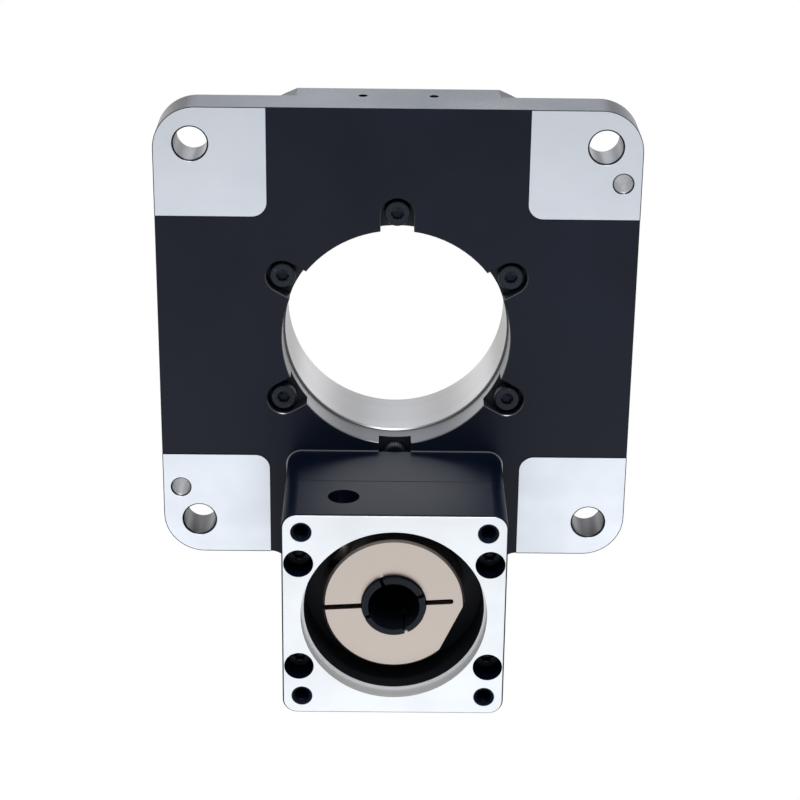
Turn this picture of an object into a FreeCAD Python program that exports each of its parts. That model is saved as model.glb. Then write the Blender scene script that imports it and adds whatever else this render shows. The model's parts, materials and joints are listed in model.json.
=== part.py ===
import FreeCAD, Part
import math
import os
import re

import Sketcher
from FreeCAD import Placement, Rotation, Vector

# Hollow rotary platform: a flanged housing with a hollow turntable on a crossed roller bearing,
# turned through a helical ring gear by a pinion shaft that clamps onto the shaft of a servo motor.
# Millimetres. The Z axis is the turntable's axis, with the turntable on top. The origin is on that
# axis in the mounting face. The motor side is at +Y and hangs below the mounting face.

os.makedirs("parts", exist_ok=True)
doc = FreeCAD.newDocument("HollowRotaryPlatform")

FULL_TURN = 360
# Points closer together than this count as one
SAME_PLACE = 0.01
# Where a sketch's points stand before its sizes are bound, and the size of a first circle
FIRST_PLACE = 10

# Driving dimensions
SIZES = {
    # Plate with four lugs and four raised feet
    "plate_width": 130,
    "lug_thickness": 12.2,
    "plate_corner_radius": 11.5,
    "bolt_inset": 10,
    "bolt_hole_diameter": 9,
    "hole_chamfer": 0.45,
    "foot_gap": 5,
    "foot_corner_radius": 4,
    "foot_step": 0.3,
    "dowel_inset_x": 5,
    "dowel_inset_y": 20,
    "dowel_diameter": 5,
    "dowel_depth": 8,
    # Raised round body
    "body_flat_inset": 2.7,
    "body_bolt_gap": 2.33,
    "body_height": 21,
    "body_edge_chamfer": 0.8,
    "bore_diameter": 62.5,
    "ring_seat_height": 9,
    "ring_seat_margin": 1.2,
    "cavity_floor": 5.5,
    "gear_side_clearance": 1,
    "sensor_hole_spacing": 19,
    "sensor_hole_height": 12.8,
    "sensor_hole_diameter": 2.5,
    "sensor_hole_depth": 4.5,
    # Land that the bearing block seats on, and the lobe over the pinion
    "land_margin": 0.35,
    "land_end_inset": 6,
    "lobe_corner_radius": 8,
    "lobe_root_radius": 5,
    "pinion_pocket_clearance": 0.9,
    # Screws that hold the bearing's inner ring to the housing
    "base_screw_inset": 4.5,
    "base_screw_count": 6,
    "base_pocket_width": 9,
    "base_pocket_depth": 5.1,
    "pocket_edge_chamfer": 0.2,
    "base_screw_length": 10,
    # M4 socket screws
    "screw_diameter": 4,
    "screw_head_diameter": 7,
    "screw_head_height": 4,
    "hex_width": 3,
    "hex_depth": 2.2,
    "hole_clearance": 0.25,
    "thread_clearance": 0.03,
    # Crossed roller bearing
    "bearing_pitch_diameter": 90,
    "roller_diameter": 5,
    "roller_length": 4.8,
    "roller_count": 24,
    "race_clearance": 0.03,
    "ring_gap": 0.2,
    "ring_height": 11,
    "outer_ring_drop": 0.4,
    "outer_ring_rise": 0.6,
    "gear_flange_width": 1.3,
    # Turntable
    "table_diameter": 124,
    "table_bore_gap": 0.5,
    "table_hub_wall": 1.65,
    "hub_clearance": 0.4,
    "hub_end_gap": 0.3,
    "table_top": 31.5,
    "table_gap": 1,
    "table_edge_chamfer": 0.8,
    "table_screw_inset": 2.4,
    "table_screw_count": 6,
    "table_screw_length": 16,
    "table_counterbore_depth": 4.4,
    "counterbore_clearance": 0.5,
    "table_bolt_circle": 84,
    "table_bolt_count": 6,
    "table_bolt_diameter": 5,
    "table_bolt_depth": 9,
    "table_dowel_spacing": 100,
    "table_dowel_diameter": 5,
    "table_dowel_depth": 6,
    # Dust seal under the rim of the turntable
    "dust_seal_radius": 61,
    "dust_seal_width": 1.2,
    "dust_seal_depth": 1,
    "dust_seal_gap": 0.2,
    # Helical gear pair
    "gear_module": 1,
    "helix_angle": 18,
    "pressure_angle": 20,
    "gear_teeth": 110,
    "pinion_teeth": 11,
    "profile_shift": 0.35,
    "tip_clearance": 0.25,
    "gear_rim": 3,
    "gear_backlash": 0.14,
    "gear_width": 7,
    "pinion_overlap": 0.4,
    "gear_flank_steps": 1,
    "gear_layers": 1,
    "pinion_flank_steps": 3,
    "pinion_layers": 2,
    # Bearing block and motor adapter
    "flange_width": 60,
    "flange_corner_radius": 4,
    "block_depth": 19.5,
    "seam_chamfer": 0.2,
    "adapter_depth": 21,
    "spigot_radius": 15,
    "spigot_height": 2,
    "spigot_clearance": 0.05,
    "block_roof": 2.5,
    "shoulder_width": 3,
    "flange_hole_inset": 5.25,
    "flange_hole_diameter": 4.2,
    "flange_hole_mouth": 5.8,
    "flange_mouth_depth": 0.45,
    "flange_hole_depth": 12,
    "pilot_inset": 5,
    "pilot_depth": 4.5,
    "adapter_bore_step": 0.7,
    "adapter_web": 4,
    "adapter_screw_inset_x": 4.5,
    "adapter_screw_inset_y": 14.5,
    "adapter_counterbore_diameter": 8,
    "adapter_counterbore_depth": 10,
    "adapter_screw_length": 35,
    "tapped_depth_spare": 0.5,
    "access_hole_diameter": 8.5,
    "edge_chamfer": 0.4,
    # Input shaft
    "motor_shaft_diameter": 14,
    "motor_shaft_depth": 30.5,
    "hub_diameter": 17.2,
    "hub_recess": 5.1,
    "hub_slot_width": 1,
    "hub_slot_count": 4,
    "hub_slot_length": 10.5,
    "hub_slot_turn": -24,
    "journal_diameter": 20,
    "shaft_shoulder_diameter": 23.2,
    "shaft_shoulder_width": 2,
    "shaft_neck_diameter": 13,
    "stub_diameter": 5,
    "stub_length": 4.3,
    # Two alike roller bearings of the input shaft, with shoulders on both rings
    "bearing_outer_diameter": 32,
    "bearing_width": 7,
    "bearing_ring_wall": 1.9,
    "shaft_race_clearance": 0.05,
    "shaft_roller_diameter": 3,
    "shaft_roller_length": 5,
    "shaft_roller_count": 12,
    "spacer_width": 1.5,
    "retaining_ring_width": 1.1,
    "retaining_ring_height": 2.2,
    "retaining_groove_depth": 1,
    "retaining_ring_gap": 7,
    # Bush at the top end of the pinion
    "bush_diameter": 11,
    "bush_width": 4,
    "bush_clearance": 0.05,
    "bush_gap": 0.6,
    # Shaft seal
    "seal_diameter": 30,
    "seal_running_gap": 0.05,
    # Clamp collar
    "collar_diameter": 38.5,
    "collar_width": 9,
    "collar_recess": 6.7,
    "collar_chamfer": 0.6,
    "collar_bore_chamfer": 0.3,
    "collar_slit_width": 1.5,
    "collar_half_slit": 7.6,
    "collar_turn": -3.5,
    "collar_flat_angle": 28.4,
    "collar_flat_depth": 2.05,
    "clamp_screw_offset": 13.7,
    "clamp_screw_length": 14,
    "clamp_head_seat": 7,
    # A cut runs past the face that it opens by this much
    "cut_overrun": 1,
}

# Sizes and places that follow from the driving dimensions
PLACES = {
    "bolt_spacing": "plate_width - 2 * bolt_inset",
    "foot_inside": "flange_width / 2 + foot_gap",
    "dowel_x": "plate_width / 2 - dowel_inset_x",
    "dowel_y": "plate_width / 2 - dowel_inset_y",
    "bolt_rim_reach": "bolt_spacing / sqrt(2) - bolt_hole_diameter / 2 - hole_chamfer",
    "flat_end_reach": "sqrt((plate_width / 2) ^ 2 + (flange_width / 2 - body_flat_inset) ^ 2)",
    "body_radius": "min(bolt_rim_reach - body_bolt_gap; flat_end_reach)",
    "bore_radius": "bore_diameter / 2",
    "base_screw_radius": "bore_radius + base_screw_inset",
    "transverse_module": "gear_module / cos(helix_angle * 1deg)",
    "gear_pitch_radius": "gear_teeth * transverse_module / 2",
    "pinion_pitch_radius": "pinion_teeth * transverse_module / 2",
    "shaft_offset": "gear_pitch_radius + pinion_pitch_radius",
    "gear_root_radius": "gear_pitch_radius - gear_module * (1 + profile_shift + tip_clearance)",
    "pinion_root_radius": "pinion_pitch_radius - gear_module * (1 - profile_shift + tip_clearance)",
    "gear_seat_radius": "gear_root_radius - gear_rim",
    "table_screw_radius": "gear_seat_radius - table_screw_inset",
    "gear_tip_radius": "gear_pitch_radius + gear_module * (1 - profile_shift)",
    "pinion_tip_radius": "pinion_pitch_radius + gear_module * (1 + profile_shift)",
    "cavity_radius": "gear_tip_radius + gear_side_clearance",
    "roller_height": "ring_seat_height + ring_height / 2",
    "bearing_pitch_radius": "bearing_pitch_diameter / 2",
    "race_half_diagonal": "(roller_diameter + 2 * race_clearance) / sqrt(2)",
    "ring_seat_radius": "bearing_pitch_radius + ring_seat_margin",
    "inner_ring_outside": "bearing_pitch_radius - ring_gap",
    "outer_ring_inside": "bearing_pitch_radius + ring_gap",
    "table_bore_radius": "bore_radius - table_bore_gap",
    "table_hub_radius": "table_bore_radius + table_hub_wall",
    "inner_ring_bore": "table_hub_radius + hub_clearance",
    "inner_ring_top": "ring_seat_height + ring_height",
    "outer_ring_bottom": "ring_seat_height + outer_ring_drop",
    "outer_ring_top": "inner_ring_top + outer_ring_rise",
    "gear_flange_radius": "gear_seat_radius + gear_flange_width",
    "gear_top": "roller_height",
    "gear_bottom": "gear_top - gear_width",
    "table_underside": "body_height + table_gap",
    "table_head_seat": "table_top - table_counterbore_depth",
    "hub_bottom": "ring_seat_height + hub_end_gap",
    "pinion_bottom": "gear_bottom - pinion_overlap",
    "pinion_top": "gear_top + pinion_overlap",
    "pinion_pocket_radius": "pinion_tip_radius + pinion_pocket_clearance",
    "bush_bottom": "pinion_top + bush_gap",
    "bush_top": "bush_bottom + bush_width",
    "block_bottom": "-block_depth",
    "adapter_bottom": "block_bottom - adapter_depth",
    "bearing_shoulder": "-block_roof",
    "upper_bearing_bottom": "bearing_shoulder - bearing_width",
    "lower_bearing_top": "upper_bearing_bottom - spacer_width",
    "lower_bearing_bottom": "lower_bearing_top - bearing_width",
    "retaining_ring_bottom": "lower_bearing_bottom - retaining_ring_width",
    "bearing_outer_radius": "bearing_outer_diameter / 2",
    "journal_radius": "journal_diameter / 2",
    "shaft_rollers_radius": "(bearing_outer_radius + journal_radius) / 2",
    "shoulder_radius": "bearing_outer_radius - shoulder_width",
    "flange_hole_place": "flange_width / 2 - flange_hole_inset",
    "pilot_radius": "flange_width / 2 - pilot_inset",
    "adapter_bore_radius": "pilot_radius - adapter_bore_step",
    "adapter_screw_x": "flange_width / 2 - adapter_screw_inset_x",
    "adapter_screw_y": "flange_width / 2 - adapter_screw_inset_y",
    "web_bottom": "block_bottom - adapter_web",
    "adapter_head_seat": "adapter_bottom + adapter_counterbore_depth",
    "hub_end": "adapter_bottom + hub_recess",
    "collar_bottom": "adapter_bottom + collar_recess",
    "collar_top": "collar_bottom + collar_width",
    "clamp_height": "collar_bottom + collar_width / 2",
    "screw_radius": "screw_diameter / 2",
    "screw_hole_radius": "screw_radius + hole_clearance",
    "tapped_radius": "screw_radius + thread_clearance",
    "adapter_screw_tip": "adapter_head_seat + adapter_screw_length",
    "table_screw_tip": "table_head_seat - table_screw_length",
    "base_screw_tip": "base_pocket_depth + base_screw_length",
}


def fill_sheet(name, cells):
    """Make a spreadsheet with one named cell a row."""
    sheet = doc.addObject("Spreadsheet::Sheet", name)
    for row, (alias, value) in enumerate(cells.items(), start=1):
        sheet.set("A%d" % row, alias)
        sheet.set("B%d" % row, str(value))
        sheet.setAlias("B%d" % row, alias)
    return sheet


def formula(text):
    """Write the sheet's name before each named size in a formula."""

    def with_sheet(match):
        word = match.group()
        if word in SIZES:
            return "Sizes." + word
        if word in PLACES:
            return "Places." + word
        return word

    return re.sub(r"[a-z]+(?:_[a-z]+)+", with_sheet, str(text))


sizes = fill_sheet("Sizes", SIZES)
places = fill_sheet("Places", {alias: "=" + formula(text).replace("Places.", "")
                               for alias, text in PLACES.items()})
doc.recompute()


def size(alias):
    """Read a size from the sheets."""
    return float(sizes.get(alias) if alias in SIZES else places.get(alias))


def bind(thing, target, text):
    thing.setExpression(target, formula(text))


# Sketches and features

def new_body(name):
    return doc.addObject("PartDesign::Body", name)


def new_sketch(body, name, plane="XY_Plane", height=None, aside=None):
    """A sketch on one of the body's own planes, moved off it by a height or to one side."""
    sketch = body.newObject("Sketcher::SketchObject", name)
    support = next(feature for feature in body.Origin.OriginFeatures if feature.Role == plane)
    sketch.AttachmentSupport = [(support, "")]
    sketch.MapMode = "FlatFace"
    if height is not None:
        bind(sketch, "AttachmentOffset.Base.z", height)
    if aside is not None:
        bind(sketch, "AttachmentOffset.Base.x", aside)
    return sketch


def place_point(sketch, geometry, end, x, y, start):
    """Tie a point of the sketch to its origin by two distances."""
    for kind, text, value in (("DistanceX", x, start.x), ("DistanceY", y, start.y)):
        index = sketch.addConstraint(Sketcher.Constraint(kind, -1, 1, geometry, end, value))
        bind(sketch, "Constraints[%d]" % index, text)


def add_polygon(sketch, points):
    """A closed outline of straight lines through points given as formulas."""
    count = len(points)
    first = sketch.GeometryCount
    starts = [Vector(math.cos(2 * math.pi * i / count), math.sin(2 * math.pi * i / count), 0)
              * FIRST_PLACE for i in range(count)]
    for i in range(count):
        sketch.addGeometry(Part.LineSegment(starts[i], starts[(i + 1) % count]), False)
    for i in range(count):
        sketch.addConstraint(Sketcher.Constraint("Coincident", first + i, 2, first + (i + 1) % count, 1))
    for i, (x, y) in enumerate(points):
        place_point(sketch, first + i, 1, x, y, starts[i])


def add_rectangle(sketch, left, right, low, high):
    add_polygon(sketch, [(left, low), (right, low), (right, high), (left, high)])


def add_circle(sketch, x, y, radius):
    centre = Vector(FIRST_PLACE, FIRST_PLACE, 0)
    index = sketch.addGeometry(Part.Circle(centre, Vector(0, 0, 1), FIRST_PLACE), False)
    place_point(sketch, index, 3, x, y, centre)
    constraint = sketch.addConstraint(Sketcher.Constraint("Radius", index, FIRST_PLACE))
    bind(sketch, "Constraints[%d]" % constraint, radius)


def add_hexagon(sketch, x, y, width):
    """A hexagon with two sides square to the first axis, given by its width across flats."""
    half = "(%s) / 2" % width
    corner = "(%s) / sqrt(3)" % width
    corners = [("1", "0.5"), ("0", "1"), ("-1", "0.5"), ("-1", "-0.5"), ("0", "-1"), ("1", "-0.5")]
    add_polygon(sketch, [("(%s) + %s * %s" % (x, a, half), "(%s) + %s * %s" % (y, b, corner))
                         for a, b in corners])


def add_feature(body, kind, sketch, length, upward):
    feature = body.newObject("PartDesign::" + kind, sketch.Name + "_" + kind.lower())
    feature.Profile = sketch
    bind(feature, "Length", length)
    feature.Reversed = upward if kind == "Pocket" else not upward
    return feature


def pad(body, sketch, length, upward=True):
    return add_feature(body, "Pad", sketch, length, upward)


def pocket(body, sketch, length, upward=True):
    return add_feature(body, "Pocket", sketch, length, upward)


def turn(body, kind, sketch):
    """Revolve a sketch about its own vertical axis, as a solid or as a cut."""
    feature = body.newObject("PartDesign::" + kind, sketch.Name + "_" + kind.lower())
    feature.Profile = sketch
    feature.ReferenceAxis = (sketch, ["V_Axis"])
    feature.Angle = FULL_TURN
    return feature


def repeat_round(body, features, sketch, count):
    """Repeat features round the upright axis of the sketch."""
    pattern = body.newObject("PartDesign::PolarPattern", features[0].Name + "_pattern")
    pattern.Originals = features
    pattern.Axis = (sketch, ["N_Axis"])
    pattern.Angle = FULL_TURN
    bind(pattern, "Occurrences", count)
    body.Tip = pattern
    return pattern


def turned_body(name, points):
    """A body turned about the Z axis from an outline of radius and height."""
    body = new_body(name)
    sketch = new_sketch(body, name + "_outline", "XZ_Plane")
    add_polygon(sketch, points)
    turn(body, "Revolution", sketch)
    return body


def turned_ring(name, inside, outside, low, high):
    return turned_body(name, [(inside, low), (outside, low), (outside, high), (inside, high)])


def move_to_shaft(thing):
    """Put a piece that is modelled about its own axis on the axis of the input shaft."""
    bind(thing, "Placement.Base.y", "shaft_offset")


def near(value, target):
    return abs(value - target) < SAME_PLACE


def upright_edges(feature, corners):
    """Names of the upright straight edges that stand at the given corners."""
    names = []
    for number, edge in enumerate(feature.Shape.Edges, start=1):
        low, high = edge.Vertexes[0].Point, edge.Vertexes[-1].Point
        if near(low.x, high.x) and near(low.y, high.y) and not near(low.z, high.z):
            if any(near(low.x, x) and near(low.y, y) for x, y in corners):
                names.append("Edge%d" % number)
    return names


def round_edges(feature, radius, height):
    """Names of the full circles of a radius at a height."""
    names = []
    for number, edge in enumerate(feature.Shape.Edges, start=1):
        curve = edge.Curve
        if edge.isClosed() and isinstance(curve, Part.Circle):
            if near(curve.Radius, radius) and near(curve.Center.z, height):
                names.append("Edge%d" % number)
    return names


def face_edges(feature, height):
    """Names of the edges of the longest outline among the flat faces at a height."""
    faces = [face for face in feature.Shape.Faces
             if near(face.BoundBox.ZMin, height) and near(face.BoundBox.ZMax, height)]
    outline = max((face.OuterWire for face in faces), key=lambda wire: wire.Length)
    names = []
    for number, edge in enumerate(feature.Shape.Edges, start=1):
        if any(edge.isSame(other) for other in outline.Edges):
            names.append("Edge%d" % number)
    return names


def dress(body, kind, name, feature, names, amount, other=None):
    """Round or bevel named edges, a bevel with another width on its second face if one is given."""
    dressed = body.newObject("PartDesign::" + kind, name)
    dressed.Base = (feature, names)
    bind(dressed, "Radius" if kind == "Fillet" else "Size", amount)
    if other is not None:
        dressed.ChamferType = "Two distances"
        bind(dressed, "Size2", other)
    body.Tip = dressed
    doc.recompute()
    return dressed


def mirrored_corners(x, y):
    return [(a * x, b * y) for a in (-1, 1) for b in (-1, 1)]


# Housing

def make_housing():
    """One machined piece: plate with lugs and feet, round body, lobe, and the cavity inside."""
    body = new_body("base_housing")
    plate = new_sketch(body, "plate", height="foot_step")
    add_rectangle(plate, "-plate_width / 2", "plate_width / 2", "-plate_width / 2", "plate_width / 2")
    pad(body, plate, "lug_thickness - foot_step")
    round_body = new_sketch(body, "round_body", height="foot_step")
    add_circle(round_body, "0", "0", "body_radius")
    pad(body, round_body, "body_height - foot_step")
    feet = new_sketch(body, "feet")
    inner, outer = "foot_inside", "(plate_width / 2)"
    for across in ("-", "+"):
        for along in ("-", "+"):
            add_rectangle(feet, "0 %s %s" % (across, inner), "0 %s %s" % (across, outer),
                          "0 %s %s" % (along, inner), "0 %s %s" % (along, outer))
    pad(body, feet, "foot_step")
    sides = new_sketch(body, "side_cut")
    add_rectangle(sides, "-2 * body_radius", "2 * body_radius", "-2 * body_radius", "2 * body_radius")
    add_rectangle(sides, "-plate_width / 2", "plate_width / 2", "-plate_width / 2", "plate_width / 2")
    trimmed = pocket(body, sides, "body_height + cut_overrun")
    doc.recompute()
    side = size("plate_width") / 2
    corners = upright_edges(trimmed, mirrored_corners(side, side))
    cornered = dress(body, "Fillet", "plate_corners", trimmed, corners, "plate_corner_radius")
    foot_corner = size("foot_inside")
    corners = upright_edges(cornered, mirrored_corners(foot_corner, foot_corner))
    dress(body, "Fillet", "foot_corners", cornered, corners, "foot_corner_radius")
    add_lobe(body)
    add_land(body)
    cut_cavity(body)
    break_pocket_edges(body, cut_base_pockets(body))
    cut_shaft_side(body)
    cut_plate_holes(body)
    return body


def add_land(body):
    """A machined land as high as the feet, a little wider than the bearing block on it."""
    wide, narrow = "(flange_width / 2 + land_margin)", "(flange_width / 2)"
    near_side = "shaft_offset - flange_width / 2 - land_margin"
    step = "plate_width / 2 - land_end_inset"
    far_side = "shaft_offset + flange_width / 2"
    land = new_sketch(body, "land")
    add_polygon(land, [
        ("-" + wide, near_side), (wide, near_side), (wide, step), (narrow, step),
        (narrow, far_side + " - lobe_corner_radius"), (narrow + " - lobe_corner_radius", far_side),
        ("lobe_corner_radius - " + narrow, far_side), ("-" + narrow, far_side + " - lobe_corner_radius"),
        ("-" + narrow, step), ("-" + wide, step)])
    raised = pad(body, land, "foot_step")
    doc.recompute()
    side = size("flange_width") / 2 + size("land_margin")
    front = size("shaft_offset") - side
    corners = upright_edges(raised, [(-side, front), (side, front)])
    dress(body, "Fillet", "land_corners", raised, corners, "flange_corner_radius + land_margin")


def add_lobe(body):
    """The lobe carries the bearing block and covers the pinion."""
    lobe = new_sketch(body, "lobe", height="foot_step")
    add_rectangle(lobe, "-flange_width / 2", "flange_width / 2",
                  "0", "shaft_offset + flange_width / 2")
    lobe_pad = pad(body, lobe, "body_height - foot_step")
    doc.recompute()
    half = size("flange_width") / 2
    end = size("shaft_offset") + half
    corners = upright_edges(lobe_pad, [(-half, end), (half, end)])
    ended = dress(body, "Fillet", "lobe_corners", lobe_pad, corners, "lobe_corner_radius")
    side = size("plate_width") / 2
    corners = upright_edges(ended, [(-half, side), (half, side)])
    rooted = dress(body, "Fillet", "lobe_roots", ended, corners, "lobe_root_radius")
    top = face_edges(rooted, size("body_height"))
    dress(body, "Chamfer", "body_edge", rooted, top, "body_edge_chamfer")


def cut_cavity(body):
    """Bore, seat of the bearing's inner ring, gear cavity and the dust seal's groove."""
    cavity = new_sketch(body, "cavity", "XZ_Plane")
    add_polygon(cavity, [
        ("0", "-cut_overrun"),
        ("bore_radius", "-cut_overrun"),
        ("bore_radius", "ring_seat_height"),
        ("ring_seat_radius", "ring_seat_height"),
        ("ring_seat_radius", "cavity_floor"),
        ("cavity_radius", "cavity_floor"),
        ("cavity_radius", "body_height + cut_overrun"),
        ("0", "body_height + cut_overrun"),
    ])
    turn(body, "Groove", cavity)
    seal = new_sketch(body, "seal_groove", height="body_height")
    add_circle(seal, "0", "0", "dust_seal_radius - dust_seal_width / 2")
    add_circle(seal, "0", "0", "dust_seal_radius + dust_seal_width / 2")
    pocket(body, seal, "dust_seal_depth", upward=False)


def cut_base_pockets(body):
    """Screw pockets round the bore, open to it."""
    seat = new_sketch(body, "screw_pocket")
    add_circle(seat, "0", "base_screw_radius", "base_pocket_width / 2")
    mouth = new_sketch(body, "pocket_mouth")
    add_rectangle(mouth, "-base_pocket_width / 2", "base_pocket_width / 2",
                  "bore_radius - cut_overrun", "base_screw_radius")
    hole = new_sketch(body, "pocket_hole")
    add_circle(hole, "0", "base_screw_radius", "screw_hole_radius")
    cuts = [pocket(body, seat, "base_pocket_depth"), pocket(body, mouth, "base_pocket_depth"),
            pocket(body, hole, "ring_seat_height")]
    return repeat_round(body, cuts, seat, "base_screw_count")


def break_pocket_edges(body, pockets):
    """A small chamfer along the bore and the screw pockets on the housing's underside."""
    doc.recompute()
    reach = size("base_screw_radius") + size("base_pocket_width") / 2 + SAME_PLACE
    names = []
    for number, edge in enumerate(pockets.Shape.Edges, start=1):
        flat = near(edge.BoundBox.ZMin, size("foot_step")) and near(edge.BoundBox.ZMax, size("foot_step"))
        if flat and all(math.hypot(vertex.X, vertex.Y) < reach for vertex in edge.Vertexes):
            names.append("Edge%d" % number)
    dress(body, "Chamfer", "pocket_edges", pockets, names, "pocket_edge_chamfer")


def cut_shaft_side(body):
    """Spigot hole, pinion pocket, bush seat and tapped holes on the input shaft's axis."""
    steps = [("spigot_hole", "spigot_radius + spigot_clearance", "cavity_floor"),
             ("pinion_pocket", "pinion_pocket_radius", "bush_bottom"),
             ("bush_seat", "bush_diameter / 2", "bush_top")]
    for name, radius, depth in steps:
        sketch = new_sketch(body, name)
        add_circle(sketch, "0", "shaft_offset", radius)
        pocket(body, sketch, depth)
    tapped = new_sketch(body, "block_screw_holes")
    for x, y in screw_corners("adapter_screw_x", "adapter_screw_y"):
        add_circle(tapped, x, "shaft_offset + " + y, "tapped_radius")
    pocket(body, tapped, "adapter_screw_tip + tapped_depth_spare")


def screw_corners(x, y):
    """Four places as formulas, at plus and minus two distances."""
    return [("(%s%s)" % (a, x), "(%s%s)" % (b, y)) for a in ("-", "0 + ") for b in ("-", "0 + ")]


def cut_plate_holes(body):
    """Through bolt holes in the lugs, two dowel holes and two sensor holes."""
    bolts = new_sketch(body, "bolt_holes")
    for x, y in screw_corners("bolt_spacing / 2", "bolt_spacing / 2"):
        add_circle(bolts, x, y, "bolt_hole_diameter / 2")
    pocket(body, bolts, "body_height")
    dowels = new_sketch(body, "dowel_holes")
    add_circle(dowels, "dowel_x", "-dowel_y", "dowel_diameter / 2")
    add_circle(dowels, "-dowel_x", "dowel_y", "dowel_diameter / 2")
    pocket(body, dowels, "dowel_depth")
    sensor = new_sketch(body, "sensor_holes", "XZ_Plane", height="plate_width / 2")
    for x in ("-sensor_hole_spacing / 2", "sensor_hole_spacing / 2"):
        add_circle(sensor, x, "sensor_hole_height", "sensor_hole_diameter / 2")
    drilled = pocket(body, sensor, "sensor_hole_depth", upward=False)
    doc.recompute()
    rims = round_edges(drilled, size("bolt_hole_diameter") / 2, 0)
    rims += round_edges(drilled, size("bolt_hole_diameter") / 2, size("lug_thickness"))
    rims += round_edges(drilled, size("dowel_diameter") / 2, 0)
    dress(body, "Chamfer", "hole_rims", drilled, rims, "hole_chamfer")


# Bearing block and motor adapter, each modelled about the input shaft's axis

def square_block(name, bottom, height):
    """A square block with rounded upright corners and the four screw holes through it."""
    body = new_body(name)
    outline = new_sketch(body, name + "_outline", height=bottom)
    add_rectangle(outline, "-flange_width / 2", "flange_width / 2", "-flange_width / 2", "flange_width / 2")
    block = pad(body, outline, height)
    doc.recompute()
    half = size("flange_width") / 2
    corners = upright_edges(block, mirrored_corners(half, half))
    rounded = dress(body, "Fillet", name + "_corners", block, corners, "flange_corner_radius")
    seam = face_edges(rounded, size("block_bottom"))
    dress(body, "Chamfer", name + "_seam_edge", rounded, seam, "seam_chamfer")
    holes = new_sketch(body, name + "_screw_holes", height=bottom)
    for x, y in screw_corners("adapter_screw_x", "adapter_screw_y"):
        add_circle(holes, x, y, "screw_hole_radius")
    pocket(body, holes, height)
    return body


def make_bearing_block():
    """The block that holds both shaft bearings, with a spigot that centres it in the housing."""
    body = square_block("bearing_block", "block_bottom", "block_depth")
    spigot = new_sketch(body, "spigot")
    add_circle(spigot, "0", "0", "spigot_radius")
    pad(body, spigot, "spigot_height")
    bore = new_sketch(body, "block_bore", "XZ_Plane")
    add_polygon(bore, [
        ("0", "block_bottom - cut_overrun"),
        ("bearing_outer_radius", "block_bottom - cut_overrun"),
        ("bearing_outer_radius", "bearing_shoulder"),
        ("shoulder_radius", "bearing_shoulder"),
        ("shoulder_radius", "spigot_height + cut_overrun"),
        ("0", "spigot_height + cut_overrun"),
    ])
    turn(body, "Groove", bore)
    ring_groove = new_sketch(body, "retainer_groove", "XZ_Plane")
    add_rectangle(ring_groove, "bearing_outer_radius - cut_overrun",
                  "bearing_outer_radius + retaining_groove_depth",
                  "retaining_ring_bottom", "lower_bearing_bottom")
    turn(body, "Groove", ring_groove)
    move_to_shaft(body)
    return body


def make_motor_adapter():
    """The motor's flange: pilot recess, tapped holes, sunk screws and the clamp screw's key hole."""
    body = square_block("motor_adapter", "adapter_bottom", "adapter_depth")
    bore = new_sketch(body, "adapter_bore", "XZ_Plane")
    add_polygon(bore, [
        ("0", "adapter_bottom - cut_overrun"),
        ("pilot_radius", "adapter_bottom - cut_overrun"),
        ("pilot_radius", "adapter_bottom + pilot_depth"),
        ("adapter_bore_radius", "adapter_bottom + pilot_depth"),
        ("adapter_bore_radius", "web_bottom"),
        ("seal_diameter / 2", "web_bottom"),
        ("seal_diameter / 2", "block_bottom + cut_overrun"),
        ("0", "block_bottom + cut_overrun"),
    ])
    turn(body, "Groove", bore)
    sunk = new_sketch(body, "sunk_heads", height="adapter_bottom")
    for x, y in screw_corners("adapter_screw_x", "adapter_screw_y"):
        add_circle(sunk, x, y, "adapter_counterbore_diameter / 2")
    pocket(body, sunk, "adapter_counterbore_depth")
    tapped = new_sketch(body, "motor_holes", height="adapter_bottom")
    for x, y in screw_corners("flange_hole_place", "flange_hole_place"):
        add_circle(tapped, x, y, "flange_hole_diameter / 2")
    pocket(body, tapped, "flange_hole_depth")
    access = new_sketch(body, "key_hole", "XZ_Plane", height="flange_width / 2")
    add_circle(access, "-clamp_screw_offset", "clamp_height", "access_hole_diameter / 2")
    opened = pocket(body, access, "flange_width / 2", upward=False)
    doc.recompute()
    mouths = round_edges(opened, size("flange_hole_diameter") / 2, size("adapter_bottom"))
    mouthed = dress(body, "Chamfer", "motor_hole_mouths", opened, mouths,
                    "(flange_hole_mouth - flange_hole_diameter) / 2", "flange_mouth_depth")
    outline = face_edges(mouthed, size("adapter_bottom"))
    dress(body, "Chamfer", "adapter_edge", mouthed, outline, "edge_chamfer")
    move_to_shaft(body)
    return body


# Crossed roller bearing

def add_ring_holes(body, name, radius, height, depth, circle_radius, count, upward):
    """Holes round a ring, the first on the Y axis."""
    sketch = new_sketch(body, name, height=height)
    add_circle(sketch, "0", circle_radius, radius)
    hole = pocket(body, sketch, depth, upward)
    return repeat_round(body, [hole], sketch, count)


def make_inner_ring():
    """The fixed ring, with its race cut as a square groove that stands on its corner."""
    body = turned_body("bearing_inner_ring", [
        ("inner_ring_bore", "ring_seat_height"),
        ("inner_ring_outside", "ring_seat_height"),
        ("inner_ring_outside", "roller_height - race_half_diagonal + ring_gap"),
        ("bearing_pitch_radius - race_half_diagonal", "roller_height"),
        ("inner_ring_outside", "roller_height + race_half_diagonal - ring_gap"),
        ("inner_ring_outside", "inner_ring_top"),
        ("inner_ring_bore", "inner_ring_top"),
    ])
    add_ring_holes(body, "inner_ring_holes", "tapped_radius", "ring_seat_height",
                   "base_screw_tip + tapped_depth_spare - ring_seat_height",
                   "base_screw_radius", "base_screw_count", upward=True)
    return body


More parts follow.
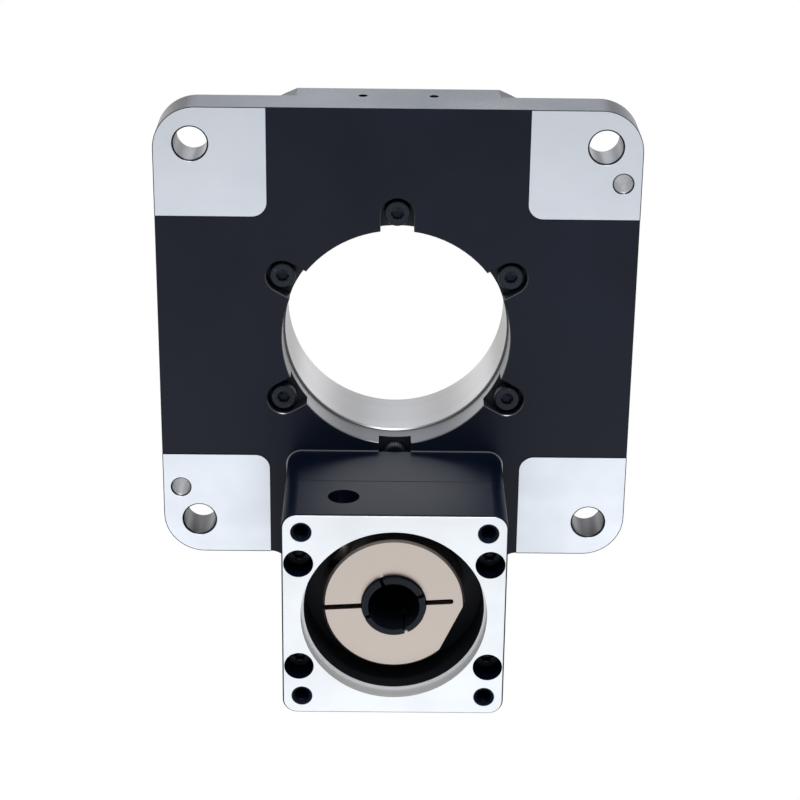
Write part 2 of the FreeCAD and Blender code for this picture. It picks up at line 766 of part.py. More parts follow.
def make_outer_rings():
    """The turning ring is split at the rollers so that they can be put in."""
    lower = turned_body("bearing_outer_ring_lower", [
        ("outer_ring_inside", "outer_ring_bottom"),
        ("gear_seat_radius", "outer_ring_bottom"),
        ("gear_seat_radius", "roller_height"),
        ("bearing_pitch_radius + race_half_diagonal", "roller_height"),
        ("outer_ring_inside", "roller_height - race_half_diagonal + ring_gap"),
    ])
    add_ring_holes(lower, "lower_ring_holes", "tapped_radius", "roller_height",
                   "roller_height - table_screw_tip + tapped_depth_spare",
                   "table_screw_radius", "table_screw_count", upward=False)
    upper = turned_body("bearing_outer_ring_upper", [
        ("outer_ring_inside", "roller_height + race_half_diagonal - ring_gap"),
        ("bearing_pitch_radius + race_half_diagonal", "roller_height"),
        ("gear_flange_radius", "roller_height"),
        ("gear_flange_radius", "outer_ring_top"),
        ("outer_ring_inside", "outer_ring_top"),
    ])
    add_ring_holes(upper, "upper_ring_holes", "screw_hole_radius", "outer_ring_top",
                   "outer_ring_top - roller_height", "table_screw_radius", "table_screw_count", upward=False)
    return [lower, upper]


def make_rollers():
    """Rollers round the race, each turned a right angle from the next."""
    count = int(size("roller_count"))
    length = size("roller_length")
    rollers = []
    for i in range(count):
        angle = 2 * math.pi * i / count
        outward = Vector(math.cos(angle), math.sin(angle), 0)
        lean = Vector(0, 0, 1 if i % 2 else -1)
        axis = (outward + lean).normalize()
        centre = outward * size("bearing_pitch_radius") + Vector(0, 0, size("roller_height"))
        start = centre - axis * (length / 2)
        rollers.append(Part.makeCylinder(size("roller_diameter") / 2, length, start, axis))
    return shape_feature("cross_rollers", Part.makeCompound(rollers))


def shape_feature(name, shape):
    thing = doc.addObject("Part::Feature", name)
    thing.Shape = shape
    thing.Placement = Placement()
    return thing


# Turntable

def make_turntable():
    """The hollow table: a disc on a thin hub that lines the bore."""
    body = turned_body("turntable", [
        ("table_bore_radius", "hub_bottom"),
        ("table_hub_radius", "hub_bottom"),
        ("table_hub_radius", "outer_ring_top"),
        ("gear_flange_radius", "outer_ring_top"),
        ("gear_flange_radius", "table_underside"),
        ("table_diameter / 2", "table_underside"),
        ("table_diameter / 2", "table_top"),
        ("table_bore_radius", "table_top"),
    ])
    doc.recompute()
    rims = round_edges(body.Tip, size("table_diameter") / 2, size("table_top"))
    rims += round_edges(body.Tip, size("table_bore_radius"), size("table_top"))
    edged = dress(body, "Chamfer", "table_rims", body.Tip, rims, "table_edge_chamfer")
    lip = round_edges(edged, size("table_bore_radius"), size("hub_bottom"))
    dress(body, "Chamfer", "hub_lip", edged, lip, "edge_chamfer")
    add_ring_holes(body, "table_screw_holes", "screw_hole_radius", "table_top",
                   "table_top - outer_ring_top", "table_screw_radius", "table_screw_count", upward=False)
    add_ring_holes(body, "table_counterbores", "(screw_head_diameter + counterbore_clearance) / 2",
                   "table_top", "table_counterbore_depth",
                   "table_screw_radius", "table_screw_count", upward=False)
    add_ring_holes(body, "load_holes", "table_bolt_diameter / 2", "table_top", "table_bolt_depth",
                   "table_bolt_circle / 2", "table_bolt_count", upward=False)
    dowels = new_sketch(body, "load_dowels", height="table_top")
    for side in ("-", "0 + "):
        add_circle(dowels, side + "table_dowel_spacing / 2", "0", "table_dowel_diameter / 2")
    pocket(body, dowels, "table_dowel_depth", upward=False)
    return body


def make_dust_seal():
    return turned_ring("dust_seal", "dust_seal_radius - dust_seal_width / 2",
                       "dust_seal_radius + dust_seal_width / 2",
                       "body_height - dust_seal_depth", "table_underside - dust_seal_gap")


# Helical gear pair

def flank_angle(teeth, pitch_radius, shift, radius):
    """Half of a tooth's angle at a radius, from the involute of the transverse section."""
    pressure = math.atan(math.tan(math.radians(size("pressure_angle")))
                         / math.cos(math.radians(size("helix_angle"))))
    base_radius = pitch_radius * math.cos(pressure)
    at_pitch = (math.pi / 2 + 2 * shift * math.cos(math.radians(size("helix_angle")))
                * math.tan(pressure)) / teeth
    at_pitch -= size("gear_backlash") / (4 * pitch_radius)
    opening = math.acos(min(1, base_radius / radius))
    involute = (math.tan(pressure) - pressure) - (math.tan(opening) - opening)
    return at_pitch + involute


def gear_section(teeth, pitch_radius, shift, root, tip, steps, turned, height):
    """Corners of a gear's outline at a height, with one tooth's middle at an angle."""
    radii = [root + (tip - root) * i / steps for i in range(steps + 1)]
    points = []
    for tooth in range(teeth):
        middle = turned + 2 * math.pi * tooth / teeth
        for side, flank in ((-1, radii), (1, radii[::-1])):
            for radius in flank:
                angle = middle + side * flank_angle(teeth, pitch_radius, shift, radius)
                points.append(Vector(radius * math.cos(angle), radius * math.sin(angle), height))
    return Part.makePolygon(points + points[:1])


def helical_gear(name, shift, low, high, hand, turned):
    """Sections turned along the helix, with their edges joined in pairs by ruled faces."""
    root, tip = size(name + "_root_radius"), size(name + "_tip_radius")
    teeth = int(size(name + "_teeth"))
    steps = int(size(name + "_flank_steps"))
    layers = int(size(name + "_layers"))
    middle = (low + high) / 2
    pitch_radius = teeth * size("transverse_module") / 2
    lead = hand * math.tan(math.radians(size("helix_angle"))) / pitch_radius
    sections = []
    for layer in range(layers + 1):
        height = low + (high - low) * layer / layers
        sections.append(gear_section(teeth, pitch_radius, shift, root, tip, steps,
                                     turned + lead * (height - middle), height))
    faces = [Part.Face(sections[0]), Part.Face(sections[-1])]
    for lower, upper in zip(sections, sections[1:]):
        faces += [Part.makeRuledSurface(a, b) for a, b in zip(lower.Edges, upper.Edges)]
    shell = Part.makeShell(faces)
    shell.sewShape()
    solid = Part.makeSolid(Part.Shell(shell.Faces))
    return solid if solid.Volume > 0 else solid.reversed()


def make_ring_gear():
    """The ring gear, shrunk onto the turning ring, with a gap between teeth towards the pinion."""
    low, high = size("gear_bottom"), size("gear_top")
    half_tooth = math.pi / size("gear_teeth")
    teeth = helical_gear("gear", -size("profile_shift"), low, high, 1, math.pi / 2 + half_tooth)
    centre = Part.makeCylinder(size("gear_seat_radius"), high - low, Vector(0, 0, low))
    return shape_feature("ring_gear", teeth.cut(centre))


def make_pinion_teeth():
    """The pinion, with a tooth towards the ring gear and the opposite helix."""
    return shape_feature("pinion_teeth", helical_gear(
        "pinion", size("profile_shift"), size("pinion_bottom"), size("pinion_top"), -1, -math.pi / 2))


# Input shaft

def make_input_shaft():
    """Pinion, bearing journal and slotted hub on one shaft, bored from below for the motor's shaft."""
    blank = turned_body("shaft_blank", [
        ("motor_shaft_diameter / 2", "hub_end"),
        ("hub_diameter / 2", "hub_end"),
        ("hub_diameter / 2", "web_bottom"),
        ("journal_radius", "web_bottom"),
        ("journal_radius", "retaining_ring_bottom"),
        ("journal_radius - retaining_groove_depth", "retaining_ring_bottom"),
        ("journal_radius - retaining_groove_depth", "lower_bearing_bottom"),
        ("journal_radius", "lower_bearing_bottom"),
        ("journal_radius", "bearing_shoulder"),
        ("shaft_shoulder_diameter / 2", "bearing_shoulder"),
        ("shaft_shoulder_diameter / 2", "bearing_shoulder + shaft_shoulder_width"),
        ("shaft_neck_diameter / 2", "bearing_shoulder + shaft_shoulder_width"),
        ("shaft_neck_diameter / 2", "pinion_bottom"),
        ("stub_diameter / 2", "pinion_bottom"),
        ("stub_diameter / 2", "pinion_top + stub_length"),
        ("0", "pinion_top + stub_length"),
        ("0", "adapter_bottom + motor_shaft_depth"),
        ("motor_shaft_diameter / 2", "adapter_bottom + motor_shaft_depth"),
    ])
    slot = new_sketch(blank, "hub_slot", height="hub_end")
    slot.AttachmentOffset = Placement(Vector(), Rotation(Vector(0, 0, 1), 1))
    bind(slot, "AttachmentOffset.Base.z", "hub_end")
    bind(slot, "AttachmentOffset.Rotation.Angle", "hub_slot_turn")
    add_rectangle(slot, "motor_shaft_diameter / 2 - cut_overrun", "hub_diameter / 2 + cut_overrun",
                  "-hub_slot_width / 2", "hub_slot_width / 2")
    repeat_round(blank, [pocket(blank, slot, "hub_slot_length")], slot, "hub_slot_count")
    shaft = doc.addObject("Part::Fuse", "input_shaft")
    shaft.Base = blank
    shaft.Tool = make_pinion_teeth()
    move_to_shaft(shaft)
    return shaft


def make_bearing_ring(name, bottom, face, shoulder, race):
    """One ring between two radii, with its race between two shoulders."""
    middle = "%s + bearing_width / 2" % bottom
    top = "%s + bearing_width" % bottom
    race_low = "%s - shaft_roller_length / 2 - shaft_race_clearance" % middle
    race_high = "%s + shaft_roller_length / 2 + shaft_race_clearance" % middle
    ring = turned_body(name, [(face, top), (face, bottom), (shoulder, bottom), (shoulder, race_low),
                              (race, race_low), (race, race_high), (shoulder, race_high), (shoulder, top)])
    move_to_shaft(ring)
    return ring


def make_shaft_rollers(name, bottom):
    """Upright rollers evenly round the input shaft."""
    count = int(size("shaft_roller_count"))
    length = size("shaft_roller_length")
    low = size(bottom) + (size("bearing_width") - length) / 2
    rollers = []
    for i in range(count):
        angle = 2 * math.pi * i / count
        place = Vector(math.cos(angle), math.sin(angle), 0) * size("shaft_rollers_radius")
        rollers.append(Part.makeCylinder(size("shaft_roller_diameter") / 2, length,
                                         place + Vector(0, 0, low)))
    roller_set = shape_feature(name, Part.makeCompound(rollers))
    move_to_shaft(roller_set)
    return roller_set


def make_shaft_bearings():
    """Both bearings of the input shaft: outer ring, inner ring and rollers of each."""
    race_depth = "(shaft_roller_diameter / 2 + shaft_race_clearance)"
    pieces = []
    for name in ("upper_bearing", "lower_bearing"):
        bottom = name + "_bottom"
        pieces += [
            make_bearing_ring(name + "_outer_ring", bottom, "bearing_outer_radius",
                              "bearing_outer_radius - bearing_ring_wall",
                              "shaft_rollers_radius + " + race_depth),
            make_bearing_ring(name + "_inner_ring", bottom, "journal_radius",
                              "journal_radius + bearing_ring_wall",
                              "shaft_rollers_radius - " + race_depth),
            make_shaft_rollers(name + "_rollers", bottom),
        ]
    return pieces


def make_spring_ring(name, inside, outside):
    """A retaining ring, open at one side, in the groove under the lower bearing."""
    body = turned_ring(name, inside, outside, "retaining_ring_bottom", "lower_bearing_bottom")
    gap = new_sketch(body, name + "_gap", height="retaining_ring_bottom")
    add_rectangle(gap, "0", "bearing_outer_diameter",
                  "-retaining_ring_gap / 2", "retaining_ring_gap / 2")
    pocket(body, gap, "retaining_ring_width")
    move_to_shaft(body)
    return body


def make_shaft_fittings():
    """Spacer between the bearings, both retaining rings, the shaft seal and the bush."""
    spacer = turned_ring("bearing_spacer", "journal_radius", "journal_radius + bearing_ring_wall",
                         "lower_bearing_top", "upper_bearing_bottom")
    seal = turned_ring("shaft_seal", "journal_radius + seal_running_gap", "seal_diameter / 2",
                       "web_bottom", "block_bottom")
    bush = turned_ring("pinion_bush", "stub_diameter / 2 + bush_clearance", "bush_diameter / 2",
                       "bush_bottom", "bush_top")
    for piece in (spacer, seal, bush):
        move_to_shaft(piece)
    housing_ring = make_spring_ring(
        "bearing_retaining_ring",
        "bearing_outer_radius + retaining_groove_depth - retaining_ring_height",
        "bearing_outer_radius + retaining_groove_depth")
    shaft_ring = make_spring_ring(
        "shaft_retaining_ring", "journal_radius - retaining_groove_depth",
        "journal_radius - retaining_groove_depth + retaining_ring_height")
    return [spacer, seal, bush, housing_ring, shaft_ring]


# Clamp collar

def make_clamp_collar():
    """The collar that closes the slotted hub on the motor's shaft: slit, half slit, balancing flat."""
    body = new_body("clamp_collar")
    ring = new_sketch(body, "collar_outline", height="collar_bottom")
    add_circle(ring, "0", "0", "collar_diameter / 2")
    add_circle(ring, "0", "0", "hub_diameter / 2")
    blank = pad(body, ring, "collar_width")
    doc.recompute()
    rims, bore_rims = [], []
    for height in ("collar_bottom", "collar_top"):
        rims += round_edges(blank, size("collar_diameter") / 2, size(height))
    rimmed = dress(body, "Chamfer", "collar_rims", blank, rims, "collar_chamfer")
    for height in ("collar_bottom", "collar_top"):
        bore_rims += round_edges(rimmed, size("hub_diameter") / 2, size(height))
    dress(body, "Chamfer", "collar_bore_rims", rimmed, bore_rims, "collar_bore_chamfer")
    slit = new_sketch(body, "collar_slit", height="collar_bottom")
    add_rectangle(slit, "-collar_diameter", "0", "-collar_slit_width / 2", "collar_slit_width / 2")
    half_slit = new_sketch(body, "collar_half_slit_cut", height="collar_bottom")
    slit_end = "hub_diameter / 2 + collar_half_slit - collar_slit_width / 2"
    add_rectangle(half_slit, "0", slit_end, "-collar_slit_width / 2", "collar_slit_width / 2")
    slit_round = new_sketch(body, "collar_slit_round", height="collar_bottom")
    add_circle(slit_round, slit_end, "0", "collar_slit_width / 2")
    flat = new_sketch(body, "collar_flat", height="collar_bottom")
    flat.AttachmentOffset = Placement(Vector(), Rotation(Vector(0, 0, 1), 1))
    bind(flat, "AttachmentOffset.Base.z", "collar_bottom")
    bind(flat, "AttachmentOffset.Rotation.Angle", "collar_flat_angle")
    add_rectangle(flat, "collar_diameter / 2 - collar_flat_depth", "collar_diameter",
                  "-collar_diameter / 2", "collar_diameter / 2")
    for sketch in (slit, half_slit, slit_round, flat):
        pocket(body, sketch, "collar_width")
    holes = [("clamp_clearance_hole", "0", "screw_hole_radius", True),
             ("clamp_tapped_hole", "0", "tapped_radius", False),
             ("clamp_head_sink", "clamp_head_seat", "(screw_head_diameter + counterbore_clearance) / 2",
              True)]
    for name, start, radius, outward in holes:
        sketch = new_sketch(body, name, "XZ_Plane", height=start)
        add_circle(sketch, "-clamp_screw_offset", "clamp_height", radius)
        pocket(body, sketch, "collar_diameter / 2", upward=outward)
    turn_collar(body)
    return body


def turn_collar(thing):
    """The collar stands a little turned on the hub."""
    thing.Placement = Placement(Vector(), Rotation(Vector(0, 0, 1), 1))
    bind(thing, "Placement.Rotation.Angle", "collar_turn")
    move_to_shaft(thing)


# Screws

def make_screws(name, spots, seat, length, points_up, plane="XY_Plane"):
    """Socket head screws that seat at one height of a plane, as separate solids of one body."""
    body = new_body(name)
    head = new_sketch(body, name + "_head", plane, height=seat)
    shank = new_sketch(body, name + "_shank", plane, height=seat)
    side = "-" if points_up else "+"
    socket_floor = "%s %s (screw_head_height - hex_depth)" % (seat, side)
    socket = new_sketch(body, name + "_socket", plane, height=socket_floor)
    for x, y in spots:
        add_circle(head, x, y, "screw_head_diameter / 2")
        add_circle(shank, x, y, "screw_radius")
        add_hexagon(socket, x, y, "hex_width")
    pad(body, head, "screw_head_height", upward=not points_up)
    pad(body, shank, length, upward=points_up)
    pocket(body, socket, "hex_depth", upward=not points_up)
    return body


def round_spots(radius, count):
    """Places round a circle, the first on the Y axis."""
    number = int(size(count))
    angles = ["%.9gdeg" % (FULL_TURN * i / number) for i in range(number)]
    return [("0 - (%s) * sin(%s)" % (radius, angle), "(%s) * cos(%s)" % (radius, angle))
            for angle in angles]


def make_all_screws():
    base = make_screws("base_screws", round_spots("base_screw_radius", "base_screw_count"),
                       "base_pocket_depth", "base_screw_length", points_up=True)
    table = make_screws("table_screws", round_spots("table_screw_radius", "table_screw_count"),
                        "table_head_seat", "table_screw_length", points_up=False)
    adapter = make_screws("adapter_screws", screw_corners("adapter_screw_x", "adapter_screw_y"),
                          "adapter_head_seat", "adapter_screw_length", points_up=True)
    move_to_shaft(adapter)
    clamp = make_screws("clamp_screw", [("-clamp_screw_offset", "clamp_height")],
                        "clamp_head_seat", "clamp_screw_length", points_up=False, plane="XZ_Plane")
    turn_collar(clamp)
    return [base, table, adapter, clamp]


def check_and_export(pieces):
    """Write the pieces, once every object of the document is sound."""
    doc.recompute()
    for thing in doc.Objects:
        if "Invalid" in thing.State or "Error" in thing.State:
            raise RuntimeError("%s failed: %s" % (thing.Name, thing.State))
    for piece in pieces:
        if piece.Shape.isNull() or not piece.Shape.isValid() or piece.Shape.Volume <= 0:
            raise RuntimeError("%s has no valid shape" % piece.Name)
    for piece in pieces:
        piece.Label = piece.Name
        piece.Shape.exportStep("parts/%s.step" % piece.Label)


pieces = [make_housing(), make_bearing_block(), make_motor_adapter(), make_inner_ring()]
pieces += make_outer_rings()
pieces += [make_rollers(), make_turntable(), make_dust_seal(), make_ring_gear(), make_input_shaft()]
pieces += make_shaft_bearings()
pieces += make_shaft_fittings()
pieces += [make_clamp_collar()]
pieces += make_all_screws()
check_and_export(pieces)
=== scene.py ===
import json
import math
from collections import namedtuple

import bmesh
import bpy
from bpy.props import FloatProperty, FloatVectorProperty, IntProperty, PointerProperty
from mathutils import Matrix, Vector


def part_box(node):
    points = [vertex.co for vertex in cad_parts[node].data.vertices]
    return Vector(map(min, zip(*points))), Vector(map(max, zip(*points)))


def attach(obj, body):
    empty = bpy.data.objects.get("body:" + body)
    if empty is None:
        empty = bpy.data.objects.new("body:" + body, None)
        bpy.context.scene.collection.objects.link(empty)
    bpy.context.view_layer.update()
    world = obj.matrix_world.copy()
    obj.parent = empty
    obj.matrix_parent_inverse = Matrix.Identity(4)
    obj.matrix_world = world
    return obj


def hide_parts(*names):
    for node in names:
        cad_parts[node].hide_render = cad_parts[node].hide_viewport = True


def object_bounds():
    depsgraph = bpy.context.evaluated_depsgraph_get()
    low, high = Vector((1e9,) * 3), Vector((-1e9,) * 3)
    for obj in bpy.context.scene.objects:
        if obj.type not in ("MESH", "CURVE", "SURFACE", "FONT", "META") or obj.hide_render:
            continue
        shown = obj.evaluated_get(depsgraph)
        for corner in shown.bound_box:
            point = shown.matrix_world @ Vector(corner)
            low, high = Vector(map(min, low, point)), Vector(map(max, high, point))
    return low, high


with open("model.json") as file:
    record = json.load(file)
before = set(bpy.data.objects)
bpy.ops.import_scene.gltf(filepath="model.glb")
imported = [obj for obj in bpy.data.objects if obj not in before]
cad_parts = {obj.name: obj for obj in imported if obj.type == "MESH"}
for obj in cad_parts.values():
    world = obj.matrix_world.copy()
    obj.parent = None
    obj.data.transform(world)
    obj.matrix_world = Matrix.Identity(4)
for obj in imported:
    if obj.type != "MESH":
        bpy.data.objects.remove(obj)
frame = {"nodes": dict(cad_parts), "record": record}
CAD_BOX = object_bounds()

# Looks of a hollow rotary platform. Metres. Z is the turntable's axis, the mounting face is at
# z 0, and the motor side hangs below it at +Y.

bl_info = {
    "name": "Hollow Rotary Platform",
    "version": (1, 0, 0),
    "blender": (4, 5, 0),
    "location": "3D View > Sidebar > Platform",
    "description": "Finishes, screws, seals, threads and bearing cages of a hollow rotary platform",
    "category": "Object",
}

MM = 0.001
FULL_TURN = 2 * math.pi
TABLE_AXIS = Vector()

# Places and sizes that the frame states
MOUNTS = {mount["name"]: mount for mount in frame["record"]["mounts"]}
SHAFT = Vector((0, MOUNTS["motor_bolts"]["pos_m"][1], 0))
MOTOR_FACE = MOUNTS["motor_bolts"]["pos_m"][2]
BOLT_REACH = MOUNTS["base_bolts"]["dims"]["spacing_x_mm"] * MM / 2
BOLT_RADIUS = MOUNTS["base_bolts"]["dims"]["hole_r_mm"] * MM
DOWEL_PLACE = MOUNTS["base_dowel_a"]["pos_m"]
DOWEL_RADIUS = MOUNTS["base_dowel_a"]["dims"]["r_mm"] * MM
PILOT_RADIUS = MOUNTS["motor_pilot"]["dims"]["r_mm"] * MM
MOTOR_BORE = MOUNTS["motor_shaft_clamp"]["dims"]["r_mm"] * MM
TABLE_BORE = MOUNTS["hollow_bore"]["dims"]["r_mm"] * MM
TABLE_TOP = MOUNTS["table_face"]["pos_m"][2]
PLATE_REACH = CAD_BOX[1][0]

# Sizes of the CAD that the frame doesn't state
PLATE_CORNER = 11.5 * MM
LAND_REACH = 31 * MM
HOUSING_BORE = TABLE_BORE + 0.5 * MM
BORE_SCREW_COUNT = 6
SHAFT_RING_WALL = 1.9 * MM
ROLLER_RADIUS = 1.5 * MM
ROLLER_COUNT = 12
DUST_SEAL_WALL = 1.2 * MM

# Where one finish ends and the next begins
FACE_SKIN = 0.05 * MM
HOLE_SKIN = 0.06 * MM
BORE_SKIN = 0.04 * MM
HUB_SKIN = 0.1 * MM
PILOT_SKIN = 0.3 * MM
PLATE_LINE = 0.22 * MM
DOWEL_TOP = 12 * MM
POCKET_REACH = TABLE_BORE + 10 * MM
POCKET_START = 0.5 * MM
POCKET_EDGE = 0.4 * MM
POCKET_EDGE_HALF = 0.095 * MM
TABLE_EDGE = 1 * MM
RECESS_START = MOTOR_FACE + 3 * MM
RECESS_REACH = PILOT_RADIUS - 0.5 * MM
LAND_DARKENING = 0.55
ANGLE_SCALE = 0.4 * MM

# Details of the added pieces
SCREW_BEVEL = 0.3 * MM
SCREW_THREAD_DEPTH = 0.25 * MM
THREAD_OVERLAP = 0.01 * MM
TAPPED_CLEARANCE = 0.02 * MM
SEAL_CLEARANCE = 0.05 * MM
CAGE_RING_GAP = 0.2 * MM
CAGE_ROLLER_GAP = 0.1 * MM
CAGE_BAR_WIDTH = 2.4 * MM
CAGE_BAR_LAP = 0.2 * MM
CAGE_BEVEL = 0.25 * MM
MERGE_DISTANCE = 0.001 * MM


def colour(name, description, red, green, blue):
    """A colour that the user can change."""
    return FloatVectorProperty(name=name, description=description, default=(red, green, blue, 1),
                               subtype="COLOR", size=4, min=0, max=1)


class PlatformSettings(bpy.types.PropertyGroup):
    """Sizes of the added details, colours of the finishes, and the stage."""

    screw_diameter: FloatProperty(
        name="Screw diameter", description="Outer diameter of the screws' thread",
        default=4 * MM, unit="LENGTH")
    screw_head_diameter: FloatProperty(
        name="Head diameter", description="Diameter of the screws' knurled heads",
        default=7 * MM, unit="LENGTH")
    screw_head_height: FloatProperty(
        name="Head height", description="Height of the screws' heads",
        default=4 * MM, unit="LENGTH")
    socket_width: FloatProperty(
        name="Socket width", description="Width across the flats of the screws' sockets",
        default=3 * MM, unit="LENGTH")
    socket_depth: FloatProperty(
        name="Socket depth", description="Depth of the screws' sockets",
        default=2.2 * MM, unit="LENGTH")
    screw_pitch: FloatProperty(
        name="Screw pitch", description="Pitch of the screws' thread",
        default=0.7 * MM, unit="LENGTH")
    thread_length: FloatProperty(
        name="Thread length", description="Length of the thread at the tip of a screw",
        default=7 * MM, unit="LENGTH")
    knurl_count: IntProperty(
        name="Knurls", description="Grooves round a screw's head", default=36, min=6)
    knurl_depth: FloatProperty(
        name="Knurl depth", description="Depth of the grooves round a screw's head",
        default=0.09 * MM, unit="LENGTH")
    collar_turn: FloatProperty(
        name="Collar turn", description="How far the clamp collar stands turned on the hub",
        default=math.radians(-3.5), subtype="ANGLE")
    clamp_offset: FloatProperty(
        name="Clamp offset", description="Distance of the clamp screw's axis from the shaft's axis",
        default=13.7 * MM, unit="LENGTH")
    clamp_seat: FloatProperty(
        name="Clamp seat", description="How far the clamp screw's head seats from the slit",
        default=7 * MM, unit="LENGTH")
    ridge_height: FloatProperty(
        name="Ridge height", description="Height of a thread's ridges in the tapped holes",
        default=0.22 * MM, unit="LENGTH")
    lip_height: FloatProperty(
        name="Lip height", description="How far a seal's lips stand off its body",
        default=0.35 * MM, unit="LENGTH")
    cage_wall: FloatProperty(
        name="Cage wall", description="Radial thickness of the shaft bearings' cages",
        default=1.5 * MM, unit="LENGTH")

    anodise: colour("Anodise", "Black dyed aluminium", 0.0005, 0.002, 0.010)
    anodise_cloud: colour("Anodise clouds", "Where the dye is thinner", 0.004, 0.008, 0.021)
    # Painted light: lighter than the anodise, to lift the shade deep in the screw pockets.
    anodise_pocket: colour("Anodised pockets", "Dye in the screw pockets", 0.012, 0.014, 0.021)
    # Painted light: lighter than the anodise, to lift the shade in the motor's recess.
    anodise_recess: colour("Anodised recess", "Dye in the motor's recess", 0.012, 0.013, 0.017)
    feet_dull: colour("Feet", "Milled feet of the plate", 0.635, 0.66, 0.71)
    feet_bright: colour("Feet, bright", "Bright bands on the feet", 0.725, 0.75, 0.80)
    motor_face_dull: colour("Motor face", "Milled motor face", 0.645, 0.665, 0.685)
    motor_face_bright: colour("Motor face, bright", "Its bright bands", 0.715, 0.735, 0.755)
    pilot_dull: colour("Pilot wall", "Turned wall of the pilot recess", 0.66, 0.67, 0.69)
    pilot_bright: colour("Pilot wall, bright", "Its bright bands", 0.97, 0.975, 0.98)
    pocket_edge: colour("Pocket edges", "Broken edges of the screw pockets", 0.17, 0.175, 0.19)
    # Painted shade: bare turned aluminium, darkened far below the other bare metal for the shade in
    # the plate's bore.
    housing_bore_dull: colour("Housing bore", "Turned bore of the plate", 0.07, 0.073, 0.082)
    housing_bore_bright: colour("Housing bore, bright", "Its bright bands", 0.10, 0.103, 0.113)
    drilled_dull: colour("Bolt holes", "Walls of the bolt holes", 0.06, 0.06, 0.065)
    drilled_bright: colour("Bolt holes, bright", "Their bright bands", 0.085, 0.085, 0.09)
    # Painted light: far lighter than the other bare metal, to lift the shade deep in the dowel
    # holes.
    reamed_dull: colour("Dowel holes", "Walls of the dowel holes", 0.92, 0.925, 0.935)
    reamed_bright: colour("Dowel holes, bright", "Their bright bands", 0.97, 0.97, 0.98)
    table_dull: colour("Turntable", "Turned aluminium of the table", 0.51, 0.51, 0.52)
    table_bright: colour("Turntable, bright", "Its bright bands", 0.62, 0.62, 0.63)
    # Painted shade: darker copies of the turned aluminium for the hollow bore.
    table_bore_dull: colour("Table bore", "Wall of the hollow bore", 0.25, 0.247, 0.252)
    table_bore_bright: colour("Table bore, bright", "Its bright bands", 0.30, 0.295, 0.30)
    steel: colour("Bearing steel", "Ground rings and the spacer", 0.62, 0.62, 0.64)
    steel_oiled: colour("Bearing steel, oiled", "Where oil darkens it", 0.44, 0.43, 0.42)
    roller: colour("Rollers", "Lapped steel", 0.72, 0.72, 0.74)
    roller_greased: colour("Rollers, greased", "Where the grease is thicker", 0.60, 0.58, 0.54)
    gear: colour("Gear", "Hobbed steel", 0.42, 0.42, 0.44)
    gear_straw: colour("Gear, straw", "Tint of the hardened teeth", 0.36, 0.31, 0.25)
    hub: colour("Hub", "Oil-blackened steel of the shaft", 0.003, 0.006, 0.011)
    hub_cloud: colour("Hub clouds", "Where the black is thinner", 0.009, 0.013, 0.019)
    journal: colour("Journal", "Bare steel of the journal and the pinion", 0.55, 0.55, 0.57)
    journal_oiled: colour("Journal, oiled", "Where oil darkens it", 0.40, 0.38, 0.35)
    nickel_dull: colour("Nickel", "Satin nickel of the collar", 0.44, 0.384, 0.344)
    nickel_bright: colour("Nickel, bright", "Its bright clouds", 0.50, 0.439, 0.392)
    oxide: colour("Black oxide", "Finish of the screws", 0.023, 0.027, 0.035)
    oxide_worn: colour("Black oxide, worn", "Worn high spots", 0.09, 0.09, 0.095)
    phosphate: colour("Phosphate", "Spring rings", 0.05, 0.052, 0.055)
    phosphate_crystal: colour("Phosphate crystals", "Their light specks", 0.12, 0.12, 0.12)
    rubber: colour("Rubber", "Seals", 0.012, 0.012, 0.012)
    rubber_bloom: colour("Rubber bloom", "Dust on the seals", 0.032, 0.031, 0.030)
    bronze: colour("Bronze", "Bush and cages", 0.66, 0.44, 0.18)
    bronze_tarnish: colour("Bronze tarnish", "Where the bronze has darkened", 0.42, 0.25, 0.11)
    floor_dull: colour("Floor", "Matt floor", 0.86, 0.86, 0.86)
    floor_bright: colour("Floor, bright", "Its light clouds", 0.90, 0.90, 0.90)
    room: colour("Room", "Even light from all round", 0.94, 0.97, 1)

    camera_place: FloatVectorProperty(
        name="Camera place", description="Where the camera stands",
        default=(-0.00344, -0.21773, -0.55635), subtype="XYZ", unit="LENGTH", precision=5)
    camera_climb: FloatProperty(
        name="Camera climb", description="Angle at which the camera looks up",
        default=math.radians(67.045), subtype="ANGLE")
    camera_turn: FloatProperty(
        name="Camera turn", description="Angle of the camera's look away from +Y, towards +X",
        default=math.radians(1.149), subtype="ANGLE")
    camera_roll: FloatProperty(
        name="Camera roll", description="Angle of the camera about its own line of sight",
        default=math.radians(-0.531), subtype="ANGLE")
    camera_lens: FloatProperty(
        name="Camera lens", description="Focal length in millimetres on a 36 mm sensor",
        default=98.217)
    floor_height: FloatProperty(
        name="Floor height", description="Height of the floor, under the camera",
        default=-1.5, unit="LENGTH")
    floor_reach: FloatProperty(
        name="Floor reach", description="Half the floor's width",
        default=40, unit="LENGTH")
    room_light: FloatProperty(
        name="Room light", description="Strength of the even light from all round", default=0.5)


# Materials

Finish = namedtuple("Finish", "colour metallic roughness height")


